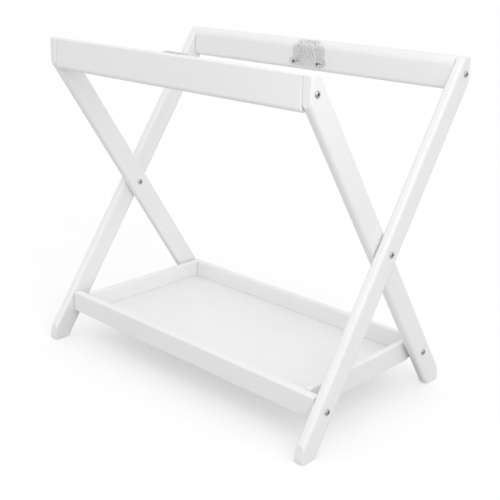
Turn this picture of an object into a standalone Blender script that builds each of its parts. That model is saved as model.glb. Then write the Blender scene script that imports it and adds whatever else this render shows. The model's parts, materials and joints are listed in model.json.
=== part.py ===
"""Folding bassinet stand in painted wood.

Two frames cross like a pair of scissors. The inner frame is the front rail and the two inner legs,
and the outer frame is the back rail and the two outer legs. They turn on two pivot bolts where the
legs cross. A shallow storage tray swings on two bolts near the feet of the outer legs, and its back
end drops over two catch pegs on the inner legs, which holds the stand open. A clear plastic clip at
the middle of each rail keeps the bassinet in place.

X runs along the rails, +Y points to the back and +Z up. The floor is at z = 0. Sizes are in metres.
"""
import math

import bmesh
import bpy
from mathutils import Matrix, Vector

# Clearance between pieces that touch on the real stand.
SEAT = 0.0003

# The crossed frames.
STAND_HEIGHT = 0.680
PIVOT_HEIGHT = 0.3355
LEG_LEAN = math.radians(33.6)
INNER_FRAME_LENGTH = 0.707
LEG_GAP = 0.0015

# Legs.
LEG_THICKNESS = 0.020
LEG_WIDTH = 0.049
LEG_EDGE_RADIUS = 0.008
LEG_END_EASE = 0.002
END_EASE = 0.002
TOE_REACH = 0.010
SOLE_RADIUS = 0.042
SOLE_INSET = 0.0095

# Rails.
RAIL_HEIGHT = 0.064
RAIL_THICKNESS = 0.030
RAIL_INNER_RADIUS = 0.018
RAIL_BOTTOM_RADIUS = 0.009
RAIL_OUTER_RADIUS = 0.003

# Tray.
TRAY_BOLT_HEIGHT = 0.0815
TRAY_BOLT_INSET = 0.0125
TRAY_UNDERSIDE = 0.061
BOARD_HEIGHT = 0.044
FRONT_BOARD_THICKNESS = 0.018
BACK_BOARD_THICKNESS = 0.014
END_BOARD_THICKNESS = 0.0125
TRAY_SIDE_GAP = 0.006
TRAY_FRONT_GAP = 0.002
BOARD_EDGE_RADIUS = 0.003
PANEL_THICKNESS = 0.003
PANEL_LIP = 0.0025
GROOVE_DEPTH = 0.0045

# Bolts with low round heads and a hexagon socket.
HEAD_RADIUS = 0.00625
HEAD_THICKNESS = 0.0027
SOCKET_WIDTH = 0.004
SOCKET_DEPTH = 0.0024
BOLT_RADIUS = 0.003

# Pivot of the crossed legs.
SLEEVE_RADIUS = 0.0045
SLEEVE_BACKSET = 0.003
SLEEVE_FLOOR = 0.001
PIVOT_WASHER_RADIUS = 0.010

# Rail joints.
RAIL_BOLT_TIP = 0.003
HOLE_SPARE = 0.002
BARREL_NUT_RADIUS = 0.005
BARREL_NUT_LENGTH = 0.014
BARREL_NUT_INSET = 0.034
DOWEL_RADIUS = 0.004
DOWEL_LENGTH = 0.028
DOWEL_IN_LEG = 0.010
DOWEL_DROP = 0.019

# Tray pivot and catch.
INSERT_RADIUS = 0.0040
INSERT_LENGTH = 0.015
TRAY_BOLT_REACH = 0.018
TRAY_WASHER_RADIUS = 0.008
PEG_RADIUS = 0.004
PEG_GRIP = 0.006
SPACER_RADIUS = 0.007
CATCH_CLEARANCE = 0.0010
CATCH_SLANT = math.radians(25.0)
TRAY_DOWEL_RADIUS = 0.003
TRAY_DOWEL_LENGTH = 0.024
TRAY_DOWEL_SHORT_END = 0.008
TRAY_DOWEL_DROP = 0.011

# Bassinet clips.
CLIP_CENTRE_WIDTH = 0.052
CLIP_WING_WIDTH = 0.086
CLIP_BASE_WIDTH = 0.093
CLIP_PLATE = 0.0027
CLIP_DEPTH = 0.010
CLIP_RISE = 0.001
CLIP_FOOT = 0.010
CLIP_BASE_HEIGHT = 0.015
CLIP_WING_DROP = 0.010
CLIP_RIBS = 6
CLIP_RIB_THICKNESS = 0.002
CLIP_RIB_FRONT = 0.0022
CLIP_RIB_BACK = 0.009
CLIP_RIB_START = math.radians(15)
CLIP_RIB_DROP = 0.0005
CLIP_WING_RADIUS = 0.009
CLIP_BASE_RADIUS = 0.0045
CLIP_WINDOW_HEIGHT = 0.012
CLIP_WINDOW_RIM = 0.0008
CLIP_WINDOW_BAR = 0.003
CLIP_SCREW_INSET = 0.0135
CLIP_SCREW_HEAD = 0.0036
CLIP_SCREW_RADIUS = 0.0018
CLIP_SCREW_LENGTH = 0.024
CLIP_SCREW_HEAD_HEIGHT = 0.0016

# Sides of the round pieces.
ROUND_SIDES = 24

# Worked out from the sizes above.
LEAN_RUN = math.tan(LEG_LEAN)
INNER_OUT = INNER_FRAME_LENGTH / 2
INNER_IN = INNER_OUT - LEG_THICKNESS
OUTER_IN = INNER_OUT + LEG_GAP
OUTER_OUT = OUTER_IN + LEG_THICKNESS
RAIL_Z = STAND_HEIGHT - RAIL_HEIGHT / 2
RAIL_Y = (RAIL_Z - PIVOT_HEIGHT) * LEAN_RUN
RAIL_OUTER_Y = RAIL_Y + RAIL_THICKNESS / 2
RAIL_INNER_Y = RAIL_Y - RAIL_THICKNESS / 2
TOE_Y = PIVOT_HEIGHT * LEAN_RUN + TOE_REACH
TRAY_BOLT_Y = (PIVOT_HEIGHT - TRAY_BOLT_HEIGHT) * LEAN_RUN
TRAY_HALF_DEPTH = TRAY_BOLT_Y + TRAY_BOLT_INSET
TRAY_RIM = TRAY_UNDERSIDE + BOARD_HEIGHT
END_BOARD_OUT = INNER_IN - TRAY_SIDE_GAP
END_BOARD_IN = END_BOARD_OUT - END_BOARD_THICKNESS
FRONT_BOARD_OUT = OUTER_IN - TRAY_FRONT_GAP
FRONT_BOARD_IN_Y = -TRAY_HALF_DEPTH + FRONT_BOARD_THICKNESS
BACK_BOARD_IN_Y = TRAY_HALF_DEPTH - BACK_BOARD_THICKNESS
PANEL_UNDERSIDE = TRAY_UNDERSIDE + PANEL_LIP + SEAT
PANEL_TOP = PANEL_UNDERSIDE + PANEL_THICKNESS
PEG_HOLE = PEG_RADIUS + SEAT
SLEEVE_HOLE = SLEEVE_RADIUS + SEAT
BOLT_HOLE = BOLT_RADIUS + SEAT
CLIP_TOP = STAND_HEIGHT + CLIP_RISE
CLIP_BOTTOM = STAND_HEIGHT - RAIL_HEIGHT + CLIP_FOOT
CLIP_BASE_TOP = CLIP_BOTTOM + CLIP_BASE_HEIGHT
CLIP_SCREW_Z = CLIP_BOTTOM + CLIP_BASE_HEIGHT / 2
CLIP_SCREW_X = CLIP_BASE_WIDTH / 2 - CLIP_SCREW_INSET


def clear_scene():
    for old in list(bpy.data.objects):
        bpy.data.objects.remove(old, do_unlink=True)


clear_scene()
PARTS = bpy.data.collections.new("bassinet_stand")
CUTTERS = bpy.data.collections.new("bassinet_stand_cutters")
bpy.context.scene.collection.children.link(PARTS)
bpy.context.scene.collection.children.link(CUTTERS)


def make_material(name, colour, roughness, metallic):
    material = bpy.data.materials.new(name)
    material.use_nodes = True
    shader = material.node_tree.nodes["Principled BSDF"]
    shader.inputs["Base Color"].default_value = (*colour, 1.0)
    shader.inputs["Roughness"].default_value = roughness
    shader.inputs["Metallic"].default_value = metallic
    material.diffuse_color = (*colour, 1.0)
    return material


PAINT = ((0.84, 0.84, 0.83), 0.42, 0.0)
TRAY_PAINT = ((0.86, 0.86, 0.85), 0.45, 0.0)
DARK_STEEL = ((0.16, 0.16, 0.17), 0.32, 0.9)
PLAIN_STEEL = ((0.55, 0.55, 0.56), 0.35, 1.0)
CLEAR_PLASTIC = ((0.78, 0.80, 0.81), 0.12, 0.0)
NYLON = ((0.80, 0.80, 0.78), 0.50, 0.0)
BARE_BEECH = ((0.62, 0.45, 0.28), 0.60, 0.0)


# Empties on the joint axes carry the three bodies.
def make_empty(name, place):
    empty = bpy.data.objects.new(name, None)
    empty.location = place
    empty.empty_display_size = 0.05
    PARTS.objects.link(empty)
    return empty


PIVOT = Vector((0.0, 0.0, PIVOT_HEIGHT))
TRAY_PIVOT = Vector((0.0, -TRAY_BOLT_Y, TRAY_BOLT_HEIGHT))
OUTER_FRAME = make_empty("outer_frame_axis", PIVOT)
INNER_FRAME = make_empty("inner_frame_axis", PIVOT)
TRAY = make_empty("tray_axis", TRAY_PIVOT)


def add_piece(name, bm, finish, body, place=(0.0, 0.0, 0.0), smooth=True):
    """Turns bm, modelled round place, into the named piece carried by body."""
    bmesh.ops.recalc_face_normals(bm, faces=bm.faces[:])
    mesh = bpy.data.meshes.new(name)
    bm.to_mesh(mesh)
    bm.free()
    return add_copy(name, mesh, finish, body, place, smooth)


def add_copy(name, mesh, finish, body, place, smooth=True):
    if not mesh.materials:
        mesh.materials.append(make_material(name, *finish))
    if smooth:
        for face in mesh.polygons:
            face.use_smooth = True
        mesh.set_sharp_from_angle(angle=math.radians(32))
    piece = bpy.data.objects.new(name, mesh)
    piece.parent = body
    piece.location = Vector(place) - body.location
    PARTS.objects.link(piece)
    return piece


def block(low, high):
    """A box between two corners."""
    low, high = Vector(low), Vector(high)
    bm = bmesh.new()
    bmesh.ops.create_cube(bm, size=1.0)
    bmesh.ops.scale(bm, vec=high - low, verts=bm.verts[:])
    bmesh.ops.translate(bm, vec=(low + high) / 2, verts=bm.verts[:])
    return bm


def round_chosen(bm, chosen, radius, segments):
    bmesh.ops.bevel(
        bm,
        geom=chosen,
        offset=radius,
        segments=segments,
        profile=0.5,
        affect="EDGES",
        clamp_overlap=True,
    )


def round_edges(bm, wanted, radius, segments):
    """Rounds the edges for which wanted(direction, middle) is true."""
    chosen = []
    for edge in bm.edges:
        run = edge.verts[1].co - edge.verts[0].co
        middle = (edge.verts[0].co + edge.verts[1].co) / 2
        if wanted(run.normalized(), middle):
            chosen.append(edge)
    round_chosen(bm, chosen, radius, segments)


def round_sharp_edges(bm, radius, segments, sharper_than):
    """Rounds every edge whose faces turn by more than the given angle."""
    chosen = [edge for edge in bm.edges if edge.calc_face_angle(0.0) > sharper_than]
    round_chosen(bm, chosen, radius, segments)


def saw(bm, point, normal):
    """Cuts off what lies beyond a plane and closes the cut."""
    cut = bmesh.ops.bisect_plane(
        bm,
        geom=bm.verts[:] + bm.edges[:] + bm.faces[:],
        plane_co=point,
        plane_no=normal,
        clear_outer=True,
    )
    rim = [item for item in cut["geom_cut"] if isinstance(item, bmesh.types.BMEdge)]
    if rim:
        bmesh.ops.contextual_create(bm, geom=rim)
    bmesh.ops.remove_doubles(bm, verts=bm.verts[:], dist=0.00001)


def turned(profile, sides=ROUND_SIDES):
    """A solid turned about X from (x, radius) points that start and end on the axis or close up."""
    bm = bmesh.new()
    verts = [bm.verts.new((x, 0.0, radius)) for x, radius in profile]
    edges = [bm.edges.new(pair) for pair in zip(verts, verts[1:])]
    if profile[0][1] > 0.0:
        edges.append(bm.edges.new((verts[-1], verts[0])))
    bmesh.ops.spin(
        bm,
        geom=verts + edges,
        cent=(0.0, 0.0, 0.0),
        axis=(1.0, 0.0, 0.0),
        angle=2.0 * math.pi,
        steps=sides,
        use_merge=True,
    )
    bmesh.ops.remove_doubles(bm, verts=bm.verts[:], dist=0.000001)
    return bm


def ring(x_low, x_high, outer, inner):
    """A washer or sleeve on the X axis."""
    return turned([(x_low, inner), (x_low, outer), (x_high, outer), (x_high, inner)])


def turn_round(bm):
    """A half turn about Z, exact to the last digit."""
    for vert in bm.verts:
        vert.co.x = -vert.co.x
        vert.co.y = -vert.co.y
    bm.normal_update()


TURNS = {
    "X": Matrix.Identity(4),
    "Y": Matrix.Rotation(math.radians(90), 4, "Z"),
    "Z": Matrix.Rotation(math.radians(-90), 4, "Y"),
}


def add_cutter(name, bm):
    mesh = bpy.data.meshes.new(name)
    bmesh.ops.recalc_face_normals(bm, faces=bm.faces[:])
    bm.to_mesh(mesh)
    bm.free()
    cutter = bpy.data.objects.new(name, mesh)
    cutter.hide_render = True
    cutter.display_type = "WIRE"
    CUTTERS.objects.link(cutter)
    return cutter


def cut_away(piece, bm, operation="DIFFERENCE"):
    """Cuts the shape bm, modelled in world places, out of the piece."""
    cutter = add_cutter(piece.name + "_cut_" + str(len(piece.modifiers)), bm)
    cut = piece.modifiers.new(cutter.name, "BOOLEAN")
    cut.operation = operation
    cut.solver = "EXACT"
    cut.object = cutter


def drill(piece, start, end, radius, sides=ROUND_SIDES):
    """A round hole between two points that differ along one axis."""
    start, end = Vector(start), Vector(end)
    run = end - start
    axis = max("XYZ", key=lambda letter: abs(run["XYZ".index(letter)]))
    half = run.length / 2
    bm = turned([(-half, 0.0), (-half, radius), (half, radius), (half, 0.0)], sides)
    bmesh.ops.transform(bm, matrix=TURNS[axis], verts=bm.verts[:])
    bmesh.ops.translate(bm, vec=(start + end) / 2, verts=bm.verts[:])
    cut_away(piece, bm)


def make_leg(name, body, side, top, x_low, x_high):
    """A leg on the side -1 or 1 whose top leans to the back (top = 1) or the front (top = -1)."""
    spare = STAND_HEIGHT
    half = LEG_WIDTH / 2
    bm = block((x_low, -half, -spare), (x_high, half, spare))
    round_edges(bm, lambda run, middle: abs(run.z) > 0.9, LEG_EDGE_RADIUS, 5)
    lean = Matrix.Rotation(-top * LEG_LEAN, 4, "X")
    bmesh.ops.transform(bm, matrix=lean, verts=bm.verts[:])
    saw(bm, (0.0, 0.0, STAND_HEIGHT - PIVOT_HEIGHT), (0.0, 0.0, 1.0))
    saw(bm, (0.0, top * RAIL_OUTER_Y, 0.0), (0.0, top, 0.0))
    saw(bm, (0.0, -top * TOE_Y, 0.0), (0.0, -top, 0.0))
    # The sole is an arc, cut flat by flat and level at its lowest point.
    sole = Vector((0.0, -top * (TOE_Y - TOE_REACH - SOLE_INSET), SOLE_RADIUS - PIVOT_HEIGHT))
    for degrees in (0, -12, 12, -24, 24):
        turn = math.radians(degrees)
        outward = Vector((0.0, -top * math.sin(turn), -math.cos(turn)))
        saw(bm, sole + outward * SOLE_RADIUS, outward)
    round_sharp_edges(bm, LEG_END_EASE, 2, math.radians(28))
    leg = add_piece(name, bm, PAINT, body, PIVOT)

    # Bolt and dowel into the rail, the pivot bolt, and the tray's bolt or peg.
    rail_y = top * RAIL_Y
    beyond = 0.01
    drill(leg, (x_low - beyond, rail_y, RAIL_Z), (x_high + beyond, rail_y, RAIL_Z), BOLT_HOLE)
    inner_face = x_low if side > 0 else x_high
    dowel_z = RAIL_Z - DOWEL_DROP
    drill(
        leg,
        (inner_face - side * beyond, rail_y, dowel_z),
        (inner_face + side * (DOWEL_IN_LEG + SEAT), rail_y, dowel_z),
        DOWEL_RADIUS + SEAT,
    )
    drill(leg, (x_low - beyond, 0.0, PIVOT_HEIGHT), (x_high + beyond, 0.0, PIVOT_HEIGHT), SLEEVE_HOLE)
    low_hole = BOLT_HOLE if top > 0 else PEG_HOLE
    low_y = -top * TRAY_BOLT_Y
    drill(
        leg,
        (x_low - beyond, low_y, TRAY_BOLT_HEIGHT),
        (x_high + beyond, low_y, TRAY_BOLT_HEIGHT),
        low_hole,
    )
    return leg


def make_rail(name, body, back, half_length):
    """A rail on the side back = 1 or front = -1, between its two legs."""
    low = (-half_length, min(back * RAIL_INNER_Y, back * RAIL_OUTER_Y), RAIL_Z - RAIL_HEIGHT / 2)
    high = (half_length, max(back * RAIL_INNER_Y, back * RAIL_OUTER_Y), STAND_HEIGHT)
    bm = block(low, high)
    centre_y = back * RAIL_Y

    def along(run):
        return abs(run.x) > 0.9

    def is_top(middle):
        return middle.z > RAIL_Z

    def is_inner(middle):
        return (middle.y - centre_y) * back < 0.0

    round_edges(
        bm, lambda run, mid: along(run) and is_top(mid) and is_inner(mid), RAIL_INNER_RADIUS, 8
    )
    bottom = RAIL_Z - RAIL_HEIGHT / 2 + SEAT
    round_edges(
        bm, lambda run, mid: along(run) and mid.z < bottom, RAIL_BOTTOM_RADIUS, 4
    )
    outer = abs(back * RAIL_OUTER_Y) - SEAT
    round_edges(
        bm,
        lambda run, mid: along(run) and mid.z > STAND_HEIGHT - SEAT and abs(mid.y) > outer,
        RAIL_OUTER_RADIUS,
        3,
    )
    round_sharp_edges(bm, END_EASE, 2, math.radians(60))
    rail = add_piece(name, bm, PAINT, body)
    for side in (-1, 1):
        end = side * half_length
        deep = end - side * (BARREL_NUT_INSET + BARREL_NUT_RADIUS + RAIL_BOLT_TIP + HOLE_SPARE)
        out = end + side * 0.01
        drill(rail, (out, centre_y, RAIL_Z), (deep, centre_y, RAIL_Z), BOLT_HOLE)
        dowel_z = RAIL_Z - DOWEL_DROP
        dowel_end = end - side * (DOWEL_LENGTH - DOWEL_IN_LEG + SEAT)
        drill(rail, (out, centre_y, dowel_z), (dowel_end, centre_y, dowel_z), DOWEL_RADIUS + SEAT)
        nut_x = end - side * BARREL_NUT_INSET
        drill(
            rail,
            (nut_x, centre_y, RAIL_Z - RAIL_HEIGHT / 2 - 0.01),
            (nut_x, centre_y, RAIL_Z + BARREL_NUT_LENGTH / 2 + SEAT),
            BARREL_NUT_RADIUS + SEAT,
        )
        screw_x = side * CLIP_SCREW_X
        drill(
            rail,
            (screw_x, back * (RAIL_INNER_Y - 0.01), CLIP_SCREW_Z),
            (screw_x, back * (RAIL_INNER_Y + CLIP_SCREW_LENGTH - CLIP_DEPTH + 2 * SEAT), CLIP_SCREW_Z),
            CLIP_SCREW_RADIUS + SEAT,
            12,
        )
    return rail


inner_rail_half = INNER_IN - SEAT
outer_rail_half = OUTER_IN - SEAT
front_rail = make_rail("front_rail", INNER_FRAME, -1, inner_rail_half)
back_rail = make_rail("back_rail", OUTER_FRAME, 1, outer_rail_half)


# Bolt shapes along +X, with the head's flat underside at x = 0 and the shank running to -X.
def bolt_shape(length, radius):
    dome = HEAD_THICKNESS
    profile = [
        (-length, 0.0),
        (-length, radius * 0.75),
        (-length + radius * 0.3, radius),
        (0.0, radius),
        (0.0, HEAD_RADIUS),
        (dome * 0.35, HEAD_RADIUS),
        (dome * 0.8, HEAD_RADIUS * 0.86),
        (dome, HEAD_RADIUS * 0.6),
        (dome, 0.0),
    ]
    return turned(profile)


def socket_cut(bolt, face_x, y, z):
    """The hexagon socket in the outer face of a bolt's head."""
    bm = bmesh.new()
    bmesh.ops.create_cone(
        bm,
        cap_ends=True,
        segments=6,
        radius1=SOCKET_WIDTH / 2 / math.cos(math.pi / 6),
        radius2=SOCKET_WIDTH / 2 / math.cos(math.pi / 6),
        depth=SOCKET_DEPTH * 2,
    )
    bmesh.ops.transform(bm, matrix=Matrix.Rotation(math.radians(90), 4, "Y"), verts=bm.verts[:])
    bmesh.ops.translate(bm, vec=(face_x, y, z), verts=bm.verts[:])
    cut_away(bolt, bm)


def add_bolt(name, body, side, seat_x, y, z, length, radius=BOLT_RADIUS):
    """A bolt whose head sits on the face at seat_x and whose shank points to the middle."""
    bm = bolt_shape(length, radius)
    if side < 0:
        turn_round(bm)
    under_head = side * (seat_x + SEAT)
    bolt = add_piece(name, bm, DARK_STEEL, body, (under_head, y, z))
    socket_cut(bolt, under_head + side * HEAD_THICKNESS, y, z)
    return bolt


def sided(side):
    return "right" if side > 0 else "left"


for side in (-1, 1):
    hand = sided(side)
    inner_faces = sorted((side * INNER_IN, side * INNER_OUT))
    outer_faces = sorted((side * OUTER_IN, side * OUTER_OUT))
    make_leg("inner_leg_" + hand, INNER_FRAME, side, -1, *inner_faces)
    make_leg("outer_leg_" + hand, OUTER_FRAME, side, 1, *outer_faces)

    # Each rail end: a bolt into a barrel nut, with a dowel below it.
    for rail, body, back, leg_out, rail_end in (
        ("front_rail", INNER_FRAME, -1, INNER_OUT, inner_rail_half),
        ("back_rail", OUTER_FRAME, 1, OUTER_OUT, outer_rail_half),
    ):
        rail_y = back * RAIL_Y
        bolt_length = leg_out - rail_end + BARREL_NUT_INSET + BARREL_NUT_RADIUS + RAIL_BOLT_TIP
        add_bolt(rail + "_bolt_" + hand, body, side, leg_out, rail_y, RAIL_Z, bolt_length)
        half_nut = BARREL_NUT_LENGTH / 2
        nut = turned(
            [
                (-half_nut, 0.0),
                (-half_nut, BARREL_NUT_RADIUS),
                (half_nut, BARREL_NUT_RADIUS),
                (half_nut, 0.0),
            ]
        )
        bmesh.ops.transform(nut, matrix=TURNS["Z"], verts=nut.verts[:])
        nut_x = side * (rail_end - BARREL_NUT_INSET)
        barrel = add_piece(
            rail + "_barrel_nut_" + hand, nut, PLAIN_STEEL, body, (nut_x, rail_y, RAIL_Z)
        )
        drill(
            barrel,
            (nut_x - 0.01, rail_y, RAIL_Z),
            (nut_x + 0.01, rail_y, RAIL_Z),
            BOLT_HOLE,
        )
        half_dowel = DOWEL_LENGTH / 2
        dowel = turned(
            [
                (-half_dowel, 0.0),
                (-half_dowel, DOWEL_RADIUS * 0.8),
                (-half_dowel + 0.001, DOWEL_RADIUS),
                (half_dowel - 0.001, DOWEL_RADIUS),
                (half_dowel, DOWEL_RADIUS * 0.8),
                (half_dowel, 0.0),
            ],
            16,
        )
        dowel_x = side * (rail_end + SEAT + DOWEL_IN_LEG - half_dowel)
        add_piece(
            rail + "_dowel_" + hand, dowel, BARE_BEECH, body, (dowel_x, rail_y, RAIL_Z - DOWEL_DROP)
        )

    # The pivot: a bolt from outside into a flanged sleeve nut from inside, and a washer between.
    add_bolt(
        "pivot_bolt_" + hand,
        OUTER_FRAME,
        side,
        OUTER_OUT,
        0.0,
        PIVOT_HEIGHT,
        LEG_THICKNESS + LEG_GAP + LEG_THICKNESS / 2,
    )
    flange = HEAD_THICKNESS
    sleeve_length = 2 * LEG_THICKNESS + LEG_GAP - SLEEVE_BACKSET
    sleeve = turned(
        [
            (-flange, 0.0),
            (-flange, HEAD_RADIUS * 0.6),
            (-flange * 0.8, HEAD_RADIUS * 0.86),
            (-flange * 0.35, HEAD_RADIUS),
            (0.0, HEAD_RADIUS),
            (0.0, SLEEVE_RADIUS),
            (sleeve_length, SLEEVE_RADIUS),
            (sleeve_length, BOLT_HOLE),
            (SLEEVE_FLOOR, BOLT_HOLE),
            (SLEEVE_FLOOR, 0.0),
        ]
    )
    if side < 0:
        turn_round(sleeve)
    add_piece(
        "pivot_sleeve_nut_" + hand,
        sleeve,
        DARK_STEEL,
        OUTER_FRAME,
        (side * (INNER_IN - SEAT), 0.0, PIVOT_HEIGHT),
    )
    washer_faces = sorted((side * (INNER_OUT + SEAT), side * (OUTER_IN - SEAT)))
    middle_x = sum(washer_faces) / 2
    washer = ring(
        washer_faces[0] - middle_x, washer_faces[1] - middle_x, PIVOT_WASHER_RADIUS, SLEEVE_HOLE
    )
    add_piece("pivot_washer_" + hand, washer, NYLON, OUTER_FRAME, (middle_x, 0.0, PIVOT_HEIGHT))


# Tray boards, each modelled in place.
def make_board(name, low, high, cut_ends):
    """A tray board with rounded rims; cut_ends is the direction of its length."""
    bm = block(low, high)
    rim = high[2] - SEAT
    round_edges(
        bm, lambda run, mid: abs(run[cut_ends]) > 0.9 and mid.z > rim, BOARD_EDGE_RADIUS, 3
    )
    round_sharp_edges(bm, END_EASE / 2, 1, math.radians(60))
    return add_piece(name, bm, TRAY_PAINT, TRAY)


front_board = make_board(
    "tray_front_board",
    (-FRONT_BOARD_OUT, -TRAY_HALF_DEPTH, TRAY_UNDERSIDE),
    (FRONT_BOARD_OUT, FRONT_BOARD_IN_Y, TRAY_RIM),
    0,
)
back_board = make_board(
    "tray_back_board",
    (-END_BOARD_IN + SEAT, BACK_BOARD_IN_Y, TRAY_UNDERSIDE),
    (END_BOARD_IN - SEAT, TRAY_HALF_DEPTH, TRAY_RIM),
    0,
)


def panel_shape(spare):
    """The base panel, or with spare the room for it in the grooves of the four boards."""
    edge = GROOVE_DEPTH - SEAT + spare
    return block(
        (-END_BOARD_IN - edge, FRONT_BOARD_IN_Y - edge, PANEL_UNDERSIDE - spare),
        (END_BOARD_IN + edge, BACK_BOARD_IN_Y + edge, PANEL_TOP + spare),
    )


add_piece("tray_base_panel", panel_shape(0.0), TRAY_PAINT, TRAY)
cut_away(front_board, panel_shape(SEAT))
cut_away(back_board, panel_shape(SEAT))


def catch_pocket(side):
    """The slot in an end board's outer face that drops over the peg, slanting forward as it falls."""
    pocket_radius = PEG_RADIUS + CATCH_CLEARANCE
    deep = END_BOARD_OUT - PEG_GRIP - SEAT
    faces = sorted((side * deep, side * (END_BOARD_OUT + 0.01)))
    bm = turned(
        [
            (faces[0], 0.0),
            (faces[0], pocket_radius),
            (faces[1], pocket_radius),
            (faces[1], 0.0),
        ]
    )
    # Its lower half is drawn down past the board's bottom edge and widened a little at the mouth.
    fall = TRAY_BOLT_HEIGHT - TRAY_UNDERSIDE + pocket_radius
    for vert in bm.verts:
        if vert.co.z < -pocket_radius * 0.05:
            vert.co.y = vert.co.y * 1.25 - fall * math.tan(CATCH_SLANT)
            vert.co.z -= fall
    bmesh.ops.translate(bm, vec=(0.0, TRAY_BOLT_Y, TRAY_BOLT_HEIGHT), verts=bm.verts[:])
    return bm


def add_tray_dowel(name, centre, axis):
    half = TRAY_DOWEL_LENGTH / 2
    dowel = turned(
        [
            (-half, 0.0),
            (-half, TRAY_DOWEL_RADIUS * 0.8),
            (-half + 0.001, TRAY_DOWEL_RADIUS),
            (half - 0.001, TRAY_DOWEL_RADIUS),
            (half, TRAY_DOWEL_RADIUS * 0.8),
            (half, 0.0),
        ],
        16,
    )
    bmesh.ops.transform(dowel, matrix=TURNS[axis], verts=dowel.verts[:])
    add_piece(name, dowel, BARE_BEECH, TRAY, centre)


tray_dowel_z = TRAY_RIM - TRAY_DOWEL_DROP
tray_dowel_hole = TRAY_DOWEL_RADIUS + SEAT

for side in (-1, 1):
    hand = sided(side)
    faces = sorted((side * END_BOARD_IN, side * END_BOARD_OUT))
    end_board = make_board(
        "tray_end_board_" + hand,
        (faces[0], FRONT_BOARD_IN_Y + SEAT, TRAY_UNDERSIDE),
        (faces[1], TRAY_HALF_DEPTH, TRAY_RIM),
        1,
    )
    cut_away(end_board, panel_shape(SEAT))
    cut_away(end_board, catch_pocket(side))

    # Front corner dowel, along Y through the joint of the end board and the front board.
    middle_x = side * (END_BOARD_IN + END_BOARD_OUT) / 2
    dowel_front = FRONT_BOARD_IN_Y - TRAY_DOWEL_SHORT_END
    dowel_back = dowel_front + TRAY_DOWEL_LENGTH
    start = (middle_x, dowel_front - SEAT, tray_dowel_z)
    end = (middle_x, dowel_back + SEAT, tray_dowel_z)
    drill(front_board, start, end, tray_dowel_hole, 16)
    drill(end_board, start, end, tray_dowel_hole, 16)
    centre = (middle_x, (dowel_front + dowel_back) / 2, tray_dowel_z)
    add_tray_dowel("tray_front_dowel_" + hand, centre, "Y")

    # Back corner dowel, along X from the end board into the back board's end.
    middle_y = (BACK_BOARD_IN_Y + TRAY_HALF_DEPTH) / 2
    dowel_out = END_BOARD_IN + TRAY_DOWEL_SHORT_END
    dowel_in = dowel_out - TRAY_DOWEL_LENGTH
    start = (side * (dowel_out + SEAT), middle_y, tray_dowel_z)
    end = (side * (dowel_in - SEAT), middle_y, tray_dowel_z)
    drill(back_board, start, end, tray_dowel_hole, 16)
    drill(end_board, start, end, tray_dowel_hole, 16)
    centre = (side * (dowel_out + dowel_in) / 2, middle_y, tray_dowel_z)
    add_tray_dowel("tray_back_dowel_" + hand, centre, "X")

    # Tray pivot: a bolt through the outer leg, a washer and an insert in the front board's end.
    board_end = FRONT_BOARD_OUT
    drill(
        front_board,
        (side * (board_end + 0.01), -TRAY_BOLT_Y, TRAY_BOLT_HEIGHT),
        (side * (board_end - INSERT_LENGTH - SEAT), -TRAY_BOLT_Y, TRAY_BOLT_HEIGHT),
        INSERT_RADIUS + SEAT,
    )
    drill(
        front_board,
        (side * board_end, -TRAY_BOLT_Y, TRAY_BOLT_HEIGHT),
        (side * (board_end - TRAY_BOLT_REACH - HOLE_SPARE), -TRAY_BOLT_Y, TRAY_BOLT_HEIGHT),
        BOLT_HOLE,
    )
    tray_bolt_length = OUTER_OUT - board_end + TRAY_BOLT_REACH
    add_bolt(
        "tray_pivot_bolt_" + hand,
        OUTER_FRAME,
        side,
        OUTER_OUT,
        -TRAY_BOLT_Y,
        TRAY_BOLT_HEIGHT,
        tray_bolt_length,
    )
    half_insert = INSERT_LENGTH / 2
    insert = ring(-half_insert, half_insert, INSERT_RADIUS, BOLT_HOLE)
    insert_x = side * (board_end - half_insert)
    add_piece(
        "tray_pivot_insert_" + hand,
        insert,
        PLAIN_STEEL,
        TRAY,
        (insert_x, -TRAY_BOLT_Y, TRAY_BOLT_HEIGHT),
    )
    washer_half = (TRAY_FRONT_GAP - 2 * SEAT) / 2
    washer = ring(-washer_half, washer_half, TRAY_WASHER_RADIUS, BOLT_HOLE)
    washer_x = side * (board_end + TRAY_FRONT_GAP / 2)
    add_piece(
        "tray_pivot_washer_" + hand,
        washer,
        NYLON,
        OUTER_FRAME,
        (washer_x, -TRAY_BOLT_Y, TRAY_BOLT_HEIGHT),
    )

    # Catch peg through the inner leg, with a spacer on it, reaching into the end board's slot.
    peg_length = LEG_THICKNESS + TRAY_SIDE_GAP + PEG_GRIP + SEAT
    add_bolt(
        "catch_peg_" + hand,
        INNER_FRAME,
        side,
        INNER_OUT,
        TRAY_BOLT_Y,
        TRAY_BOLT_HEIGHT,
        peg_length,
        PEG_RADIUS,
    )
    spacer_half = (TRAY_SIDE_GAP - 3 * SEAT) / 2
    spacer = ring(-spacer_half, spacer_half, SPACER_RADIUS, PEG_HOLE)
    spacer_x = side * (INNER_IN - SEAT - spacer_half)
    add_piece(
        "catch_spacer_" + hand,
        spacer,
        NYLON,
        INNER_FRAME,
        (spacer_x, TRAY_BOLT_Y, TRAY_BOLT_HEIGHT),
    )


# The bassinet clips, modelled on the back rail's inner face and turned round for the front rail.
def facing(bm, back):
    if back < 0:
        turn_round(bm)
    return bm


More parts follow.
